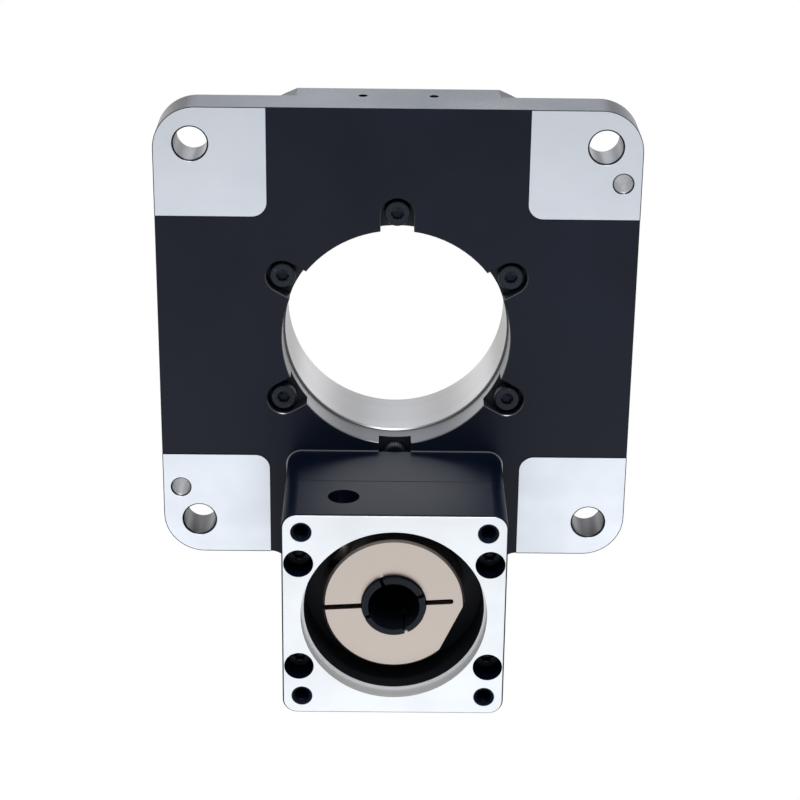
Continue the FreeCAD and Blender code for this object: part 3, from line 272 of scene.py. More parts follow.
class Graph:
    """The node tree of one material while it is put together."""

    def __init__(self, name):
        self.material = bpy.data.materials.new(name)
        self.material.use_nodes = True
        self.tree = self.material.node_tree
        self.tree.nodes.clear()
        self.place = self.node("ShaderNodeTexCoord").outputs["Object"]
        split = self.node("ShaderNodeSeparateXYZ", Vector=self.place)
        self.x, self.y, self.z = split.outputs[:3]

    def put(self, socket, value):
        if isinstance(value, bpy.types.NodeSocket):
            self.tree.links.new(value, socket)
        else:
            socket.default_value = value

    def node(self, kind, **inputs):
        """A node whose inputs are given by name, with _ for a space."""
        made = self.tree.nodes.new(kind)
        for name, value in inputs.items():
            self.put(made.inputs[name.replace("_", " ")], value)
        return made

    def math(self, operation, *values):
        made = self.tree.nodes.new("ShaderNodeMath")
        made.operation = operation
        for socket, value in zip(made.inputs, values):
            self.put(socket, value)
        return made.outputs[0]

    def tones(self, *names):
        """Colours that the settings hold."""
        return [tuple(getattr(bpy.context.scene.platform, name)) for name in names]

    def mix(self, factor, low, high):
        """A blend of two numbers, or of two colours where either is one."""
        made = self.tree.nodes.new("ShaderNodeMix")
        coloured = any(getattr(value, "type", "") == "RGBA" or isinstance(value, tuple)
                       for value in (low, high))
        made.data_type = "RGBA" if coloured else "FLOAT"
        sockets = [socket for socket in made.inputs if socket.enabled]
        for socket, value in zip(sockets, (factor, low, high)):
            self.put(socket, value)
        return next(socket for socket in made.outputs if socket.enabled)

    def noise(self, vector, scale, detail):
        made = self.node("ShaderNodeTexNoise", Vector=vector, Scale=scale, Detail=detail,
                         Roughness=0.5)
        return made.outputs[0]

    def sharpen(self, value, low, high):
        """The value stretched so that low becomes 0 and high becomes 1."""
        made = self.node("ShaderNodeMapRange", Value=value, From_Min=low, From_Max=high)
        return made.outputs[0]

    def stretched(self, scale):
        return self.node("ShaderNodeMapping", Vector=self.place, Scale=scale).outputs[0]

    def distance(self, vector, centre):
        made = self.node("ShaderNodeVectorMath")
        made.operation = "DISTANCE"
        self.put(made.inputs[0], vector)
        self.put(made.inputs[1], centre)
        return made.outputs["Value"]

    def radius(self, centre=TABLE_AXIS):
        """Distance from an upright axis."""
        flat = self.node("ShaderNodeCombineXYZ", X=self.x, Y=self.y).outputs[0]
        return self.distance(flat, centre)

    def round_lines(self, centre):
        """Coordinates that give rings on a flat face and hoops on a round wall."""
        angle = self.math("ARCTAN2", self.math("SUBTRACT", self.y, centre.y), self.x)
        return self.node("ShaderNodeCombineXYZ", X=self.radius(centre), Y=self.z,
                         Z=self.math("MULTIPLY", angle, ANGLE_SCALE)).outputs[0]

    def below(self, value, limit):
        return self.math("LESS_THAN", value, limit)

    def above(self, value, limit):
        return self.math("GREATER_THAN", value, limit)

    def beyond(self, value, limit):
        """How far the value stands past the limit, or 0."""
        return self.math("MAXIMUM", self.math("SUBTRACT", value, limit), 0)

    def beside(self, value, target, reach):
        return self.math("COMPARE", value, target, reach)

    def both(self, first, second):
        return self.math("MULTIPLY", first, second)

    def either(self, first, second):
        return self.math("MAXIMUM", first, second)

    def blend(self, mask, under, over):
        return Finish(*(self.mix(mask, low, high) for low, high in zip(under, over)))

    def finish(self, finish, relief, coat=0.0, shine=0.22):
        """Close the tree: relief is the height of the surface's bumps."""
        bump = self.node("ShaderNodeBump", Height=finish.height, Distance=relief, Strength=1.0)
        surface = self.node("ShaderNodeBsdfPrincipled", Base_Color=finish.colour,
                            Metallic=finish.metallic, Roughness=finish.roughness,
                            Coat_Weight=coat, Coat_Roughness=0.15, Normal=bump.outputs[0])
        surface.inputs["Specular IOR Level"].default_value = shine
        self.node("ShaderNodeOutputMaterial", Surface=surface.outputs[0])
        return self.material


def black_anodise(graph):
    """Blasted and dyed aluminium: nearly black, with a fine grain and faint clouds."""
    clouds = graph.sharpen(graph.noise(graph.place, scale=28, detail=4), low=0.3, high=0.7)
    grain = graph.noise(graph.place, scale=3800, detail=2)
    tone = graph.mix(clouds, *graph.tones("anodise", "anodise_cloud"))
    return Finish(tone, metallic=0.0, roughness=graph.mix(clouds, 0.36, 0.46), height=grain)


def milled(graph, *tones):
    """Face milling: fine straight lines, with wider bands where the cutter's passes meet."""
    lines = graph.noise(graph.stretched((90, 2600, 90)), scale=1, detail=3)
    passes = graph.noise(graph.stretched((6, 160, 6)), scale=1, detail=1)
    clouds = graph.sharpen(graph.noise(graph.place, scale=55, detail=3), low=0.25, high=0.75)
    pass_share, cloud_share = 0.35, 0.65
    bands = graph.math("MULTIPLY_ADD", passes, pass_share,
                       graph.math("MULTIPLY", clouds, cloud_share))
    tone = graph.mix(bands, *graph.tones(*tones))
    return Finish(tone, metallic=1.0, roughness=graph.mix(bands, 0.42, 0.34), height=lines)


def turned(graph, *tones, centre=TABLE_AXIS, scale=2400):
    """Turned on a lathe: rings on faces, hoops on walls, and slow bands of tone."""
    lines = graph.noise(graph.round_lines(centre), scale=scale, detail=3)
    bands = graph.noise(graph.round_lines(centre), scale=220, detail=2)
    tone = graph.mix(bands, *graph.tones(*tones))
    return Finish(tone, metallic=1.0, roughness=graph.mix(lines, 0.26, 0.38), height=lines)


def ground(graph, *tones, centre=TABLE_AXIS):
    """Ground steel: very fine hoops with a little oil that darkens in clouds."""
    lines = graph.noise(graph.round_lines(centre), scale=5200, detail=2)
    oil = graph.sharpen(graph.noise(graph.place, scale=120, detail=3), low=0.35, high=0.7)
    tone = graph.mix(oil, *graph.tones(*tones))
    return Finish(tone, metallic=1.0, roughness=graph.mix(lines, 0.16, 0.28), height=lines)


def housing_material():
    """Anodised all over, then machined bare on the feet, the land, the bore and the holes, with
    painted light in the pockets and dowel holes and painted shade in the bore.
    """
    graph = Graph("black_anodised_housing")
    across, along = graph.math("ABSOLUTE", graph.x), graph.math("ABSOLUTE", graph.y)
    quarter = graph.node("ShaderNodeCombineXYZ", X=across, Y=along).outputs[0]

    near_bore = graph.below(graph.radius(), POCKET_REACH)
    # Painted light: deeper than the feet and within the pockets' reach, the anodise takes a lighter
    # tone that lifts the shade in the screw pockets.
    pockets = graph.both(graph.above(graph.z, POCKET_START), near_bore)
    edges = graph.both(graph.beside(graph.z, POCKET_EDGE, POCKET_EDGE_HALF), near_bore)
    # Painted shade: the bore's wall below the inner ring is bare turned metal in a darkened tone.
    wall = graph.both(graph.beside(graph.radius(), HOUSING_BORE, BORE_SKIN),
                      graph.below(graph.z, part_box("bearing_inner_ring")[0].z + FACE_SKIN))
    bolt = Vector((BOLT_REACH, BOLT_REACH, 0))
    drilled = graph.below(graph.distance(quarter, bolt), BOLT_RADIUS + HOLE_SKIN)
    # The dowel holes lie in two of the four quarters and end inside the lugs. Their walls and
    # floors are bare reamed metal, lightened far past the other bare metal as painted light against
    # the shade deep in the holes.
    dowel = Vector((abs(DOWEL_PLACE[0]), abs(DOWEL_PLACE[1]), 0))
    dowel_holes_painted_light = graph.both(graph.below(graph.distance(quarter, dowel), DOWEL_RADIUS + HOLE_SKIN),
                        graph.both(graph.below(graph.math("MULTIPLY", graph.x, graph.y), 0),
                                   graph.below(graph.z, DOWEL_TOP)))
    # A dark line stays round the plate's outline, and the land at +Y is left only partly bare,
    # darker than the feet.
    past_corner = graph.node(
        "ShaderNodeCombineXYZ", X=graph.beyond(across, PLATE_REACH - PLATE_CORNER),
        Y=graph.beyond(along, PLATE_REACH - PLATE_CORNER)).outputs[0]
    inside = graph.below(graph.distance(past_corner, Vector()), PLATE_CORNER - PLATE_LINE)
    land = graph.both(graph.below(across, LAND_REACH), graph.above(graph.y, LAND_REACH))
    seats = graph.both(graph.below(graph.z, FACE_SKIN), graph.either(inside, land))
    seats = graph.both(seats, graph.math("MULTIPLY_ADD", land, -LAND_DARKENING, 1))

    finish = black_anodise(graph)
    pocket, edge = graph.tones("anodise_pocket", "pocket_edge")
    finish = graph.blend(pockets, finish, finish._replace(colour=pocket))
    bare = milled(graph, "feet_dull", "feet_bright")
    finish = graph.blend(seats, finish, bare)
    finish = graph.blend(edges, finish, bare._replace(colour=edge, roughness=0.3))
    finish = graph.blend(wall, finish, turned(graph, "housing_bore_dull", "housing_bore_bright"))
    finish = graph.blend(drilled, finish, milled(graph, "drilled_dull", "drilled_bright"))
    finish = graph.blend(dowel_holes_painted_light, finish, milled(graph, "reamed_dull", "reamed_bright"))
    return graph.finish(finish, relief=0.006 * MM)


def adapter_material():
    """Anodised, with the motor's face and the wall of the pilot recess machined bare, and painted
    light deeper in the recess.
    """
    graph = Graph("black_anodised_adapter")
    face = graph.below(graph.z, MOTOR_FACE + FACE_SKIN)
    wall = graph.beside(graph.radius(SHAFT), PILOT_RADIUS - PILOT_SKIN, PILOT_SKIN + HOLE_SKIN)
    # Painted light: more than 3 mm in from the motor's face and inside the pilot, the anodise takes
    # a lighter tone that lifts the shade in the recess.
    recess = graph.both(graph.below(graph.radius(SHAFT), RECESS_REACH),
                        graph.above(graph.z, RECESS_START))
    finish = black_anodise(graph)
    finish = graph.blend(recess, finish, finish._replace(colour=graph.tones("anodise_recess")[0]))
    finish = graph.blend(face, finish, milled(graph, "motor_face_dull", "motor_face_bright"))
    pilot = turned(graph, "pilot_dull", "pilot_bright", centre=SHAFT, scale=1600)
    finish = graph.blend(wall, finish, pilot._replace(metallic=0.4, roughness=0.4))
    return graph.finish(finish, relief=0.006 * MM, shine=0.10)


def block_material():
    """Plain black anodised aluminium."""
    graph = Graph("black_anodised_block")
    return graph.finish(black_anodise(graph), relief=0.006 * MM, shine=0.10)


def turntable_material():
    """Turned aluminium, with painted shade in the hollow bore and on the table's lowest millimetre.
    """
    graph = Graph("turned_aluminium")
    # Painted shade: the bore's wall and the table's lowest millimetre take the darker bore tones.
    bore = graph.either(graph.below(graph.radius(), TABLE_BORE + FACE_SKIN),
                        graph.below(graph.z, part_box("turntable")[0].z + TABLE_EDGE))
    finish = graph.blend(bore, turned(graph, "table_dull", "table_bright"),
                         turned(graph, "table_bore_dull", "table_bore_bright"))
    return graph.finish(finish, relief=0.004 * MM)


def ring_material():
    """Hardened and ground bearing steel about the turntable's axis."""
    graph = Graph("ground_bearing_steel")
    return graph.finish(ground(graph, "steel", "steel_oiled"), relief=0.002 * MM)


def shaft_ring_material():
    """The same steel about the input shaft's axis."""
    graph = Graph("ground_shaft_ring_steel")
    return graph.finish(ground(graph, "steel", "steel_oiled", centre=SHAFT), relief=0.002 * MM)


def roller_material():
    """Lapped rollers under a thin film of grease."""
    graph = Graph("lapped_roller_steel")
    film = graph.noise(graph.place, scale=600, detail=2)
    finish = Finish(graph.mix(film, *graph.tones("roller", "roller_greased")), metallic=1.0,
                    roughness=graph.mix(film, 0.06, 0.18), height=film)
    return graph.finish(finish, relief=0.001 * MM, coat=0.3)


def gear_material():
    """Hobbed and case-hardened teeth, with straw tints under the oil."""
    graph = Graph("hobbed_gear_steel")
    hob = graph.noise(graph.stretched((500, 500, 3200)), scale=1, detail=2)
    tint = graph.sharpen(graph.noise(graph.place, scale=90, detail=3), low=0.3, high=0.75)
    finish = Finish(graph.mix(tint, *graph.tones("gear", "gear_straw")), metallic=1.0,
                    roughness=graph.mix(hob, 0.22, 0.40), height=hob)
    return graph.finish(finish, relief=0.004 * MM, coat=0.25)


def shaft_material():
    """Case-hardened and oil-blackened steel, with the journal and the pinion left bare."""
    graph = Graph("blackened_shaft_steel")
    lines = graph.noise(graph.round_lines(SHAFT), scale=3000, detail=2)
    clouds = graph.noise(graph.place, scale=160, detail=3)
    black = Finish(graph.mix(clouds, *graph.tones("hub", "hub_cloud")), metallic=0.3,
                   roughness=graph.mix(clouds, 0.40, 0.55), height=lines)
    bright = ground(graph, "journal", "journal_oiled", centre=SHAFT)
    inside = graph.both(graph.above(graph.z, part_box("shaft_seal")[0].z),
                        graph.above(graph.radius(SHAFT), MOTOR_BORE + HUB_SKIN))
    return graph.finish(graph.blend(inside, black, bright), relief=0.003 * MM)


def collar_material():
    """Satin nickel over a fine blasted grain, warm in tone."""
    graph = Graph("satin_nickel")
    grain = graph.noise(graph.place, scale=4200, detail=2)
    clouds = graph.noise(graph.place, scale=70, detail=3)
    finish = Finish(graph.mix(clouds, *graph.tones("nickel_dull", "nickel_bright")), metallic=1.0,
                    roughness=graph.mix(clouds, 0.36, 0.46), height=grain)
    return graph.finish(finish, relief=0.004 * MM)


def screw_material():
    """Black oxide, oily, with worn high spots."""
    graph = Graph("black_oxide_screw")
    grain = graph.noise(graph.place, scale=2600, detail=3)
    worn = graph.sharpen(graph.noise(graph.place, scale=900, detail=4), low=0.62, high=0.8)
    finish = Finish(graph.mix(worn, *graph.tones("oxide", "oxide_worn")), metallic=0.8,
                    roughness=graph.mix(grain, 0.28, 0.44), height=grain)
    return graph.finish(finish, relief=0.004 * MM)


def spring_material():
    """Phosphated spring steel, dark grey and finely speckled."""
    graph = Graph("phosphated_spring_steel")
    crystals = graph.noise(graph.place, scale=3200, detail=3)
    tone = graph.mix(crystals, *graph.tones("phosphate", "phosphate_crystal"))
    finish = Finish(tone, metallic=0.6, roughness=graph.mix(crystals, 0.40, 0.60),
                    height=crystals)
    return graph.finish(finish, relief=0.005 * MM)


def rubber_material():
    """Moulded nitrile rubber with fine pores and a dusty bloom."""
    graph = Graph("moulded_rubber")
    pores = graph.noise(graph.place, scale=2400, detail=4)
    bloom = graph.noise(graph.place, scale=150, detail=3)
    finish = Finish(graph.mix(bloom, *graph.tones("rubber", "rubber_bloom")), metallic=0.0,
                    roughness=graph.mix(pores, 0.55, 0.75), height=pores)
    return graph.finish(finish, relief=0.01 * MM)


def bronze_material():
    """Machined bronze, a little tarnished."""
    graph = Graph("machined_bronze")
    lines = graph.noise(graph.round_lines(SHAFT), scale=3400, detail=2)
    tarnish = graph.sharpen(graph.noise(graph.place, scale=260, detail=3), low=0.3, high=0.8)
    finish = Finish(graph.mix(tarnish, *graph.tones("bronze", "bronze_tarnish")), metallic=1.0,
                    roughness=graph.mix(lines, 0.25, 0.40), height=lines)
    return graph.finish(finish, relief=0.004 * MM)


def floor_material():
    """Pale matt floor with faint clouds."""
    graph = Graph("pale_floor")
    clouds = graph.noise(graph.place, scale=3, detail=2)
    finish = Finish(graph.mix(clouds, *graph.tones("floor_dull", "floor_bright")), metallic=0.0,
                    roughness=0.8, height=clouds)
    return graph.finish(finish, relief=0.1 * MM)


NODE_MATERIALS = {
    housing_material: ["base_housing"],
    block_material: ["bearing_block"],
    adapter_material: ["motor_adapter"],
    turntable_material: ["turntable"],
    ring_material: ["bearing_inner_ring", "bearing_outer_ring_lower", "bearing_outer_ring_upper"],
    shaft_ring_material: ["upper_bearing_outer_ring", "upper_bearing_inner_ring",
                          "bearing_spacer", "lower_bearing_outer_ring",
                          "lower_bearing_inner_ring"],
    roller_material: ["cross_rollers", "upper_bearing_rollers", "lower_bearing_rollers"],
    gear_material: ["ring_gear"],
    shaft_material: ["input_shaft"],
    collar_material: ["clamp_collar"],
    screw_material: ["base_screws", "adapter_screws", "table_screws", "clamp_screw"],
    spring_material: ["bearing_retaining_ring", "shaft_retaining_ring"],
    rubber_material: ["shaft_seal", "dust_seal"],
    bronze_material: ["pinion_bush"],
}

MADE = {}


def shared_material(maker):
    """The material that a function makes, made once."""
    if maker not in MADE:
        MADE[maker] = maker()
    return MADE[maker]


# Pieces

def new_object(name, mesh_data, material):
    """Turn finished mesh data into an object of the scene."""
    mesh = bpy.data.meshes.new(name)
    mesh_data.to_mesh(mesh)
    mesh_data.free()
    mesh.materials.append(shared_material(material))
    made = bpy.data.objects.new(name, mesh)
    bpy.context.scene.collection.objects.link(made)
    return made


def new_piece(name, mesh_data, material, body, replaces=()):
    """Turn mesh data into a piece that rides on a body."""
    bmesh.ops.remove_doubles(mesh_data, verts=mesh_data.verts, dist=MERGE_DISTANCE)
    bmesh.ops.recalc_face_normals(mesh_data, faces=mesh_data.faces)
    piece = new_object(name, mesh_data, material)
    if replaces:
        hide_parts(*replaces)
    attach(piece, body)


def add_turned(mesh_data, outline, steps, centre=TABLE_AXIS):
    """A ring turned about an upright axis from a closed outline of radius and height."""
    verts = [mesh_data.verts.new(centre + Vector((radius, 0, height)))
             for radius, height in outline]
    edges = [mesh_data.edges.new(pair) for pair in zip(verts, verts[1:] + verts[:1])]
    bmesh.ops.spin(mesh_data, geom=verts + edges, cent=centre, axis=(0, 0, 1),
                   angle=FULL_TURN, steps=steps, use_merge=True)


def add_thread(mesh_data, place, radius, ridge, pitch, length):
    """A thread's ridge along the place's Z axis: outward where ridge is above 0, else inward."""
    steps_round = 24
    count = max(1, int(length / pitch))
    crest_start, crest_end, foot = pitch * 0.4, pitch * 0.5, pitch * 0.9
    outline = [(radius, 0), (radius + ridge, crest_start), (radius + ridge, crest_end),
               (radius, foot)]
    verts = [mesh_data.verts.new(place @ Vector((reach, 0, rise))) for reach, rise in outline]
    edges = [mesh_data.edges.new(pair) for pair in zip(verts, verts[1:])]
    axis = place.to_3x3() @ Vector((0, 0, 1))
    bmesh.ops.spin(mesh_data, geom=verts + edges, cent=place.translation, axis=axis,
                   dvec=axis * (pitch / steps_round), angle=FULL_TURN * count,
                   steps=steps_round * count)


def add_rings(mesh_data, place, rings, segments):
    """Draw a disc out from ring to ring, each a height and a radius that depends on the angle."""
    disc = bmesh.ops.create_circle(mesh_data, segments=segments, radius=1, cap_ends=True)
    verts = disc["verts"]
    edges = list(dict.fromkeys(edge for vert in verts for edge in vert.link_edges))
    shaped = []
    for height, radius_at in rings:
        if shaped:
            drawn = bmesh.ops.extrude_edge_only(mesh_data, edges=edges)["geom"]
            verts = [item for item in drawn if isinstance(item, bmesh.types.BMVert)]
            edges = [item for item in drawn if isinstance(item, bmesh.types.BMEdge)]
        for vert in verts:
            angle = math.atan2(vert.co.y, vert.co.x)
            radius = radius_at(angle)
            vert.co = (radius * math.cos(angle), radius * math.sin(angle), height)
        shaped += verts
    bmesh.ops.contextual_create(mesh_data, geom=edges)
    bmesh.ops.transform(mesh_data, matrix=place, verts=shaped)


def add_socket_screw(mesh_data, place, length, settings):
    """A socket head cap screw: the head stands up the place's Z axis, the shank goes down it."""
    head = settings.screw_head_diameter / 2
    shank = settings.screw_diameter / 2
    top = settings.screw_head_height
    floor = top - settings.socket_depth
    bevel = SCREW_BEVEL
    core = shank - SCREW_THREAD_DEPTH
    thread = min(settings.thread_length, length / 2)
    side = FULL_TURN / 6
    mouth = settings.socket_width / 2 / math.cos(side / 2)

    def flat(radius):
        return lambda angle: radius

    def knurled(angle):
        return head - settings.knurl_depth * abs(math.sin(angle * settings.knurl_count / 2))

    def hexagon(angle):
        return settings.socket_width / 2 / math.cos((angle % side) - side / 2)

    rings = [
        (-length, flat(core - bevel)), (-length + bevel, flat(core)),
        (-length + thread, flat(core)), (-length + thread + bevel, flat(shank)),
        (0, flat(shank)), (0, flat(head - bevel)), (bevel / 2, flat(head)),
        (bevel, knurled), (top - bevel * 1.6, knurled),
        (top - bevel * 1.3, flat(head)), (top - bevel / 2, flat(head - bevel / 3)),
        (top, flat(head - bevel * 1.2)), (top, flat(mouth + bevel / 3)),
        (top - bevel / 2, hexagon), (floor, hexagon), (floor - bevel, flat(bevel / 2)),
    ]
    add_rings(mesh_data, place, rings, 2 * settings.knurl_count)
    tip = place @ Matrix.Translation((0, 0, -length + bevel))
    add_thread(mesh_data, tip, core, SCREW_THREAD_DEPTH - THREAD_OVERLAP, settings.screw_pitch,
               thread - bevel)


def upright(x, y, z, head_up):
    """A place with its Z axis up or down."""
    turn = Matrix() if head_up else Matrix.Rotation(math.pi, 4, "X")
    return Matrix.Translation((x, y, z)) @ turn


def round_places(radius, count, z, head_up):
    """Places round the turntable's axis, the first on +Y."""
    angles = [math.pi / 2 + FULL_TURN * i / count for i in range(count)]
    return [upright(radius * math.cos(angle), radius * math.sin(angle), z, head_up)
            for angle in angles]


class PLATFORM_OT_finishes(bpy.types.Operator):
    """Give every CAD node its finish"""

    bl_idname = "platform.finishes"
    bl_label = "Finishes"

    def execute(self, context):
        for maker, names in NODE_MATERIALS.items():
            for name in names:
                for slot in frame["nodes"][name].material_slots:
                    slot.material = shared_material(maker)
        return {"FINISHED"}


class PLATFORM_OT_screws(bpy.types.Operator):
    """Knurled socket head screws with threads, in place of the plain ones"""

    bl_idname = "platform.screws"
    bl_label = "Screws"

    def execute(self, context):
        settings = context.scene.platform
        head = settings.screw_head_diameter / 2
        rise = settings.screw_head_height
        for node, body in (("base_screws", "base"), ("table_screws", "table")):
            low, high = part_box(node)
            head_up = body == "table"
            seat = high.z - rise if head_up else low.z + rise
            self.build(node, body, high.z - low.z - rise, settings,
                       round_places(high.y - head, BORE_SCREW_COUNT, seat, head_up))

        low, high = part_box("adapter_screws")
        places = [upright(x, y, low.z + rise, False) for x in (low.x + head, high.x - head)
                  for y in (low.y + head, high.y - head)]
        self.build("adapter_screws", "base", high.z - low.z - rise, settings, places)

        low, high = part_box("clamp_screw")
        place = (Matrix.Translation(SHAFT + Vector((0, 0, (low.z + high.z) / 2)))
                 @ Matrix.Rotation(settings.collar_turn, 4, "Z")
                 @ Matrix.Translation((-settings.clamp_offset, -settings.clamp_seat, 0))
                 @ Matrix.Rotation(math.pi / 2, 4, "X"))
        self.build("clamp_screw", "input", 2 * settings.clamp_seat, settings, [place])
        return {"FINISHED"}

    def build(self, node, body, length, settings, places):
        mesh_data = bmesh.new()
        for place in places:
            add_socket_screw(mesh_data, place, length, settings)
        new_piece(node + "_detailed", mesh_data, screw_material, body, [node])


Tapped = namedtuple("Tapped", "piece mount body slot material pitch depth start")

MOTOR_HOLES = Tapped("motor_hole_threads", MOUNTS["motor_bolts"], "base", "black_anodised",
                     block_material, pitch=0.8 * MM, depth=10.5 * MM, start=0.7 * MM)
SENSOR_HOLES = Tapped("sensor_hole_threads", MOUNTS["sensor_holes"], "base", "black_anodised",
                      block_material, pitch=0.5 * MM, depth=3.6 * MM, start=0.4 * MM)
LOAD_HOLES = Tapped("load_hole_threads", MOUNTS["table_bolts"], "table", "turned_aluminium",
                    turntable_material, pitch=1.0 * MM, depth=7.5 * MM, start=0.4 * MM)


class PLATFORM_OT_threads(bpy.types.Operator):
    """Threads in the motor's, the sensor's and the load's tapped holes"""

    bl_idname = "platform.threads"
    bl_label = "Threads"

    def execute(self, context):
        ridge = context.scene.platform.ridge_height

        reach = MOTOR_HOLES.mount["dims"]["spacing_x_mm"] * MM / 2
        start = MOTOR_FACE + MOTOR_HOLES.start
        self.tap(MOTOR_HOLES, ridge, [
            Matrix.Translation((across * reach, SHAFT.y + along * reach, start))
            for across in (-1, 1) for along in (-1, 1)])

        middle = Vector(SENSOR_HOLES.mount["pos_m"])
        reach = SENSOR_HOLES.mount["dims"]["spacing_x_mm"] * MM / 2
        self.tap(SENSOR_HOLES, ridge, [
            Matrix.Translation(middle + Vector((across * reach, SENSOR_HOLES.start, 0)))
            @ Matrix.Rotation(-math.pi / 2, 4, "X") for across in (-1, 1)])

        dims = LOAD_HOLES.mount["dims"]
        self.tap(LOAD_HOLES, ridge, round_places(
            dims["pcd_mm"] * MM / 2, dims["count"], TABLE_TOP - LOAD_HOLES.start, False))
        return {"FINISHED"}

    def tap(self, holes, ridge, places):
        radius = holes.mount["dims"]["hole_r_mm"] * MM + TAPPED_CLEARANCE
        mesh_data = bmesh.new()
        for place in places:
            add_thread(mesh_data, place, radius, -ridge, holes.pitch, holes.depth)
        new_piece(holes.piece, mesh_data, holes.material, holes.body)


class PLATFORM_OT_seals(bpy.types.Operator):
    """Shaft seal with its lip, and dust seal with two lips"""

    bl_idname = "platform.seals"
    bl_label = "Seals"

    def execute(self, context):
        lip = context.scene.platform.lip_height
        low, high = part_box("shaft_seal")
        outside = (high.x - low.x) / 2
        spacer_low, spacer_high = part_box("bearing_spacer")
        journal = (spacer_high.x - spacer_low.x) / 2 - SHAFT_RING_WALL
        inside = journal + SEAL_CLEARANCE
        middle = (low.z + high.z) / 2
        mesh_data = bmesh.new()
        add_turned(mesh_data, [
            (outside, low.z + lip), (outside, high.z - lip), (outside - lip, high.z),
            (outside - 3 * lip, high.z), (outside - 4 * lip, middle + lip),
            (inside + 5 * lip, middle + lip), (inside + 4 * lip, high.z - lip),
            (inside + 2 * lip, high.z - lip), (inside, middle), (inside + lip, low.z + 2 * lip),
            (inside + lip, low.z), (outside - lip, low.z)], steps=96, centre=SHAFT)
        new_piece("shaft_seal_lipped", mesh_data, rubber_material, "base",
                  ["shaft_seal"])

        low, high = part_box("dust_seal")
        outside = high.x
        inside = outside - DUST_SEAL_WALL
        groove = high.z - 2 * lip
        mesh_data = bmesh.new()
        add_turned(mesh_data, [
            (inside, low.z), (outside, low.z), (outside, groove), (outside - lip / 2, high.z),
            (outside - lip, high.z), (outside - lip, groove), (inside + lip, groove),
            (inside + lip, high.z), (inside + lip / 2, high.z), (inside, groove)], steps=192)
        new_piece("dust_seal_lipped", mesh_data, rubber_material, "base",
                  ["dust_seal"])
        return {"FINISHED"}


class PLATFORM_OT_cages(bpy.types.Operator):
    """Cages that keep the shaft bearings' rollers apart"""

    bl_idname = "platform.cages"
    bl_label = "Cages"

    def execute(self, context):
        wall = context.scene.platform.cage_wall
        for name, body in (("upper_bearing", "upper_roller_set"),
                           ("lower_bearing", "lower_roller_set")):
            low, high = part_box(name + "_rollers")
            ring_low, ring_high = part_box(name + "_outer_ring")
            pitch_radius = (high.x - low.x) / 2 - ROLLER_RADIUS
            inside, outside = pitch_radius - wall / 2, pitch_radius + wall / 2
            mesh_data = bmesh.new()
            for start, end in ((ring_low.z + CAGE_RING_GAP, low.z - CAGE_ROLLER_GAP),
                               (high.z + CAGE_ROLLER_GAP, ring_high.z - CAGE_RING_GAP)):
                add_turned(mesh_data, [(inside, start), (outside, start), (outside, end),
                                       (inside, end)], steps=72, centre=SHAFT)
            middle = Matrix.Translation(SHAFT + Vector((0, 0, (low.z + high.z) / 2)))
            size = Matrix.Diagonal((wall, CAGE_BAR_WIDTH, high.z - low.z + 2 * CAGE_BAR_LAP, 1))
            for i in range(ROLLER_COUNT):
                turn = Matrix.Rotation(FULL_TURN * (i + 0.5) / ROLLER_COUNT, 4, "Z")
                place = middle @ turn @ Matrix.Translation((pitch_radius, 0, 0))
                made = bmesh.ops.create_cube(mesh_data, size=1, matrix=place @ size)
                edges = list(dict.fromkeys(
                    edge for vert in made["verts"] for edge in vert.link_edges))
                bmesh.ops.bevel(mesh_data, geom=edges, offset=CAGE_BEVEL, segments=2,
                                profile=0.5, affect="EDGES", material=-1)
            new_piece(name + "_cage", mesh_data, bronze_material, body)
        return {"FINISHED"}


# Stage

Lamp = namedtuple("Lamp", "name place aim width height power colour")

LAMPS = [
    Lamp("front_high", (-0.5, -1.5, 1.25), (0, 0, 0), 1.8, 1.4, 8, (1, 0.985, 0.965)),
    Lamp("front_low", (0.1, -1.5, -0.64), (0, 0, 0), 0.6, 0.4, 9, (1, 0.99, 0.975)),
    Lamp("rim_strip", (0, -0.20, 0.25), (0, -0.065, 0.006), 0.22, 0.12, 0.36, (0.84, 0.91, 1)),
    Lamp("above_left", (-0.66, 0, 1.4), (0, 0, 0), 0.5, 0.8, 1.25, (0.97, 0.985, 1)),
    Lamp("above_right", (0.66, 0, 1.4), (0, 0, 0), 0.5, 0.8, 1.25, (0.97, 0.985, 1)),
    Lamp("below_back", (0, 0.84, -1.05), (0, 0.03, 0), 1.6, 0.9, 5.4, (0.96, 0.98, 1)),
]


def add_lamp(lamp):
    """A soft rectangular lamp that faces a point."""
    light = bpy.data.lights.new(lamp.name, "AREA")
    light.shape = "RECTANGLE"
    light.size = lamp.width
    light.size_y = lamp.height
    light.energy = lamp.power
    light.color = lamp.colour
    holder = bpy.data.objects.new(lamp.name, light)
    holder.location = lamp.place
    look = Vector(lamp.aim) - Vector(lamp.place)
    holder.rotation_euler = look.to_track_quat("-Z", "Y").to_euler()
    bpy.context.scene.collection.objects.link(holder)


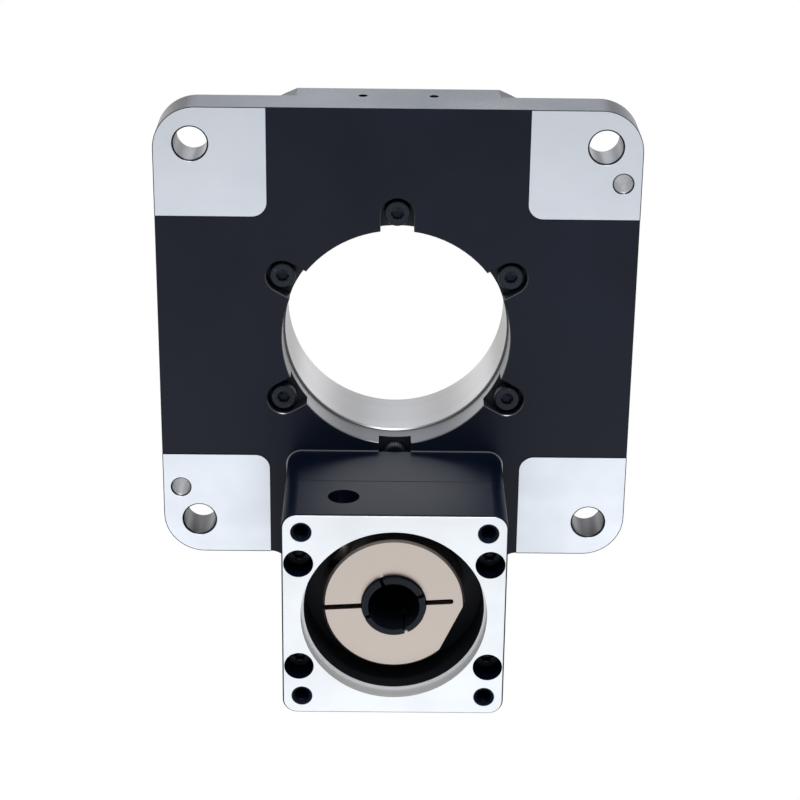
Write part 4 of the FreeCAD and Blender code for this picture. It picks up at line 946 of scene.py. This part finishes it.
class PLATFORM_OT_stage(bpy.types.Operator):
    """Floor, even surroundings, lamps and the camera of the photograph"""

    bl_idname = "platform.stage"
    bl_label = "Stage"

    def execute(self, context):
        settings = context.scene.platform
        self.lay_floor(settings)
        self.light_room(context, settings)
        for lamp in LAMPS:
            add_lamp(lamp)
        self.set_camera(context, settings)
        context.scene.view_settings.view_transform = "Standard"
        return {"FINISHED"}

    def lay_floor(self, settings):
        mesh_data = bmesh.new()
        bmesh.ops.create_grid(mesh_data, x_segments=1, y_segments=1, size=settings.floor_reach,
                              matrix=Matrix.Translation((0, 0, settings.floor_height)))
        floor = new_object("floor", mesh_data, floor_material)

    def light_room(self, context, settings):
        """White to the camera and in mirrors and glass, and a pale room to everything else."""
        world = bpy.data.worlds.new("studio")
        world.use_nodes = True
        tree = world.node_tree
        tree.nodes.clear()
        room = tree.nodes.new("ShaderNodeBackground")
        room.inputs["Color"].default_value = settings.room
        room.inputs["Strength"].default_value = settings.room_light
        seen = tree.nodes.new("ShaderNodeBackground")
        seen.inputs["Color"].default_value = (1, 1, 1, 1)
        rays = tree.nodes.new("ShaderNodeLightPath")
        white = rays.outputs["Is Camera Ray"]
        for kind in ("Is Glossy Ray", "Is Transmission Ray"):
            either = tree.nodes.new("ShaderNodeMath")
            either.operation = "MAXIMUM"
            tree.links.new(white, either.inputs[0])
            tree.links.new(rays.outputs[kind], either.inputs[1])
            white = either.outputs[0]
        choice = tree.nodes.new("ShaderNodeMixShader")
        output = tree.nodes.new("ShaderNodeOutputWorld")
        for source, target in ((white, choice.inputs[0]), (room.outputs[0], choice.inputs[1]),
                               (seen.outputs[0], choice.inputs[2]),
                               (choice.outputs[0], output.inputs["Surface"])):
            tree.links.new(source, target)
        context.scene.world = world

    def set_camera(self, context, settings):
        """The camera looks up at the underside of the platform."""
        camera = bpy.data.cameras.new("camera")
        camera.lens = settings.camera_lens
        holder = bpy.data.objects.new("camera", camera)
        climb, turn = settings.camera_climb, settings.camera_turn
        look = Vector((math.sin(turn) * math.cos(climb), math.cos(turn) * math.cos(climb),
                       math.sin(climb)))
        right = look.cross(Vector((0, 0, 1))).normalized()
        above = right.cross(look)
        stand = Matrix((right, above, -look)).transposed().to_4x4()
        holder.matrix_world = (Matrix.Translation(settings.camera_place) @ stand
                               @ Matrix.Rotation(settings.camera_roll, 4, "Z"))
        context.scene.collection.objects.link(holder)
        context.scene.camera = holder


class PLATFORM_PT_panel(bpy.types.Panel):
    """Sizes, colours and steps of the rotary platform"""

    bl_idname = "PLATFORM_PT_panel"
    bl_label = "Rotary Platform"
    bl_space_type = "VIEW_3D"
    bl_region_type = "UI"
    bl_category = "Platform"

    def draw(self, context):
        for name in PlatformSettings.__annotations__:
            self.layout.prop(context.scene.platform, name)
        for operator in OPERATORS:
            self.layout.operator(operator.bl_idname)


OPERATORS = [PLATFORM_OT_finishes, PLATFORM_OT_screws, PLATFORM_OT_threads, PLATFORM_OT_seals,
             PLATFORM_OT_cages, PLATFORM_OT_stage]


def register():
    for kind in [PlatformSettings, *OPERATORS, PLATFORM_PT_panel]:
        bpy.utils.register_class(kind)
    bpy.types.Scene.platform = PointerProperty(type=PlatformSettings)


def unregister():
    del bpy.types.Scene.platform
    for kind in [PLATFORM_PT_panel, *reversed(OPERATORS), PlatformSettings]:
        bpy.utils.unregister_class(kind)


def main():
    register()
    bpy.ops.platform.finishes()
    bpy.ops.platform.screws()
    bpy.ops.platform.threads()
    bpy.ops.platform.seals()
    bpy.ops.platform.cages()
    bpy.ops.platform.stage()


if __name__ == "__main__":
    main()
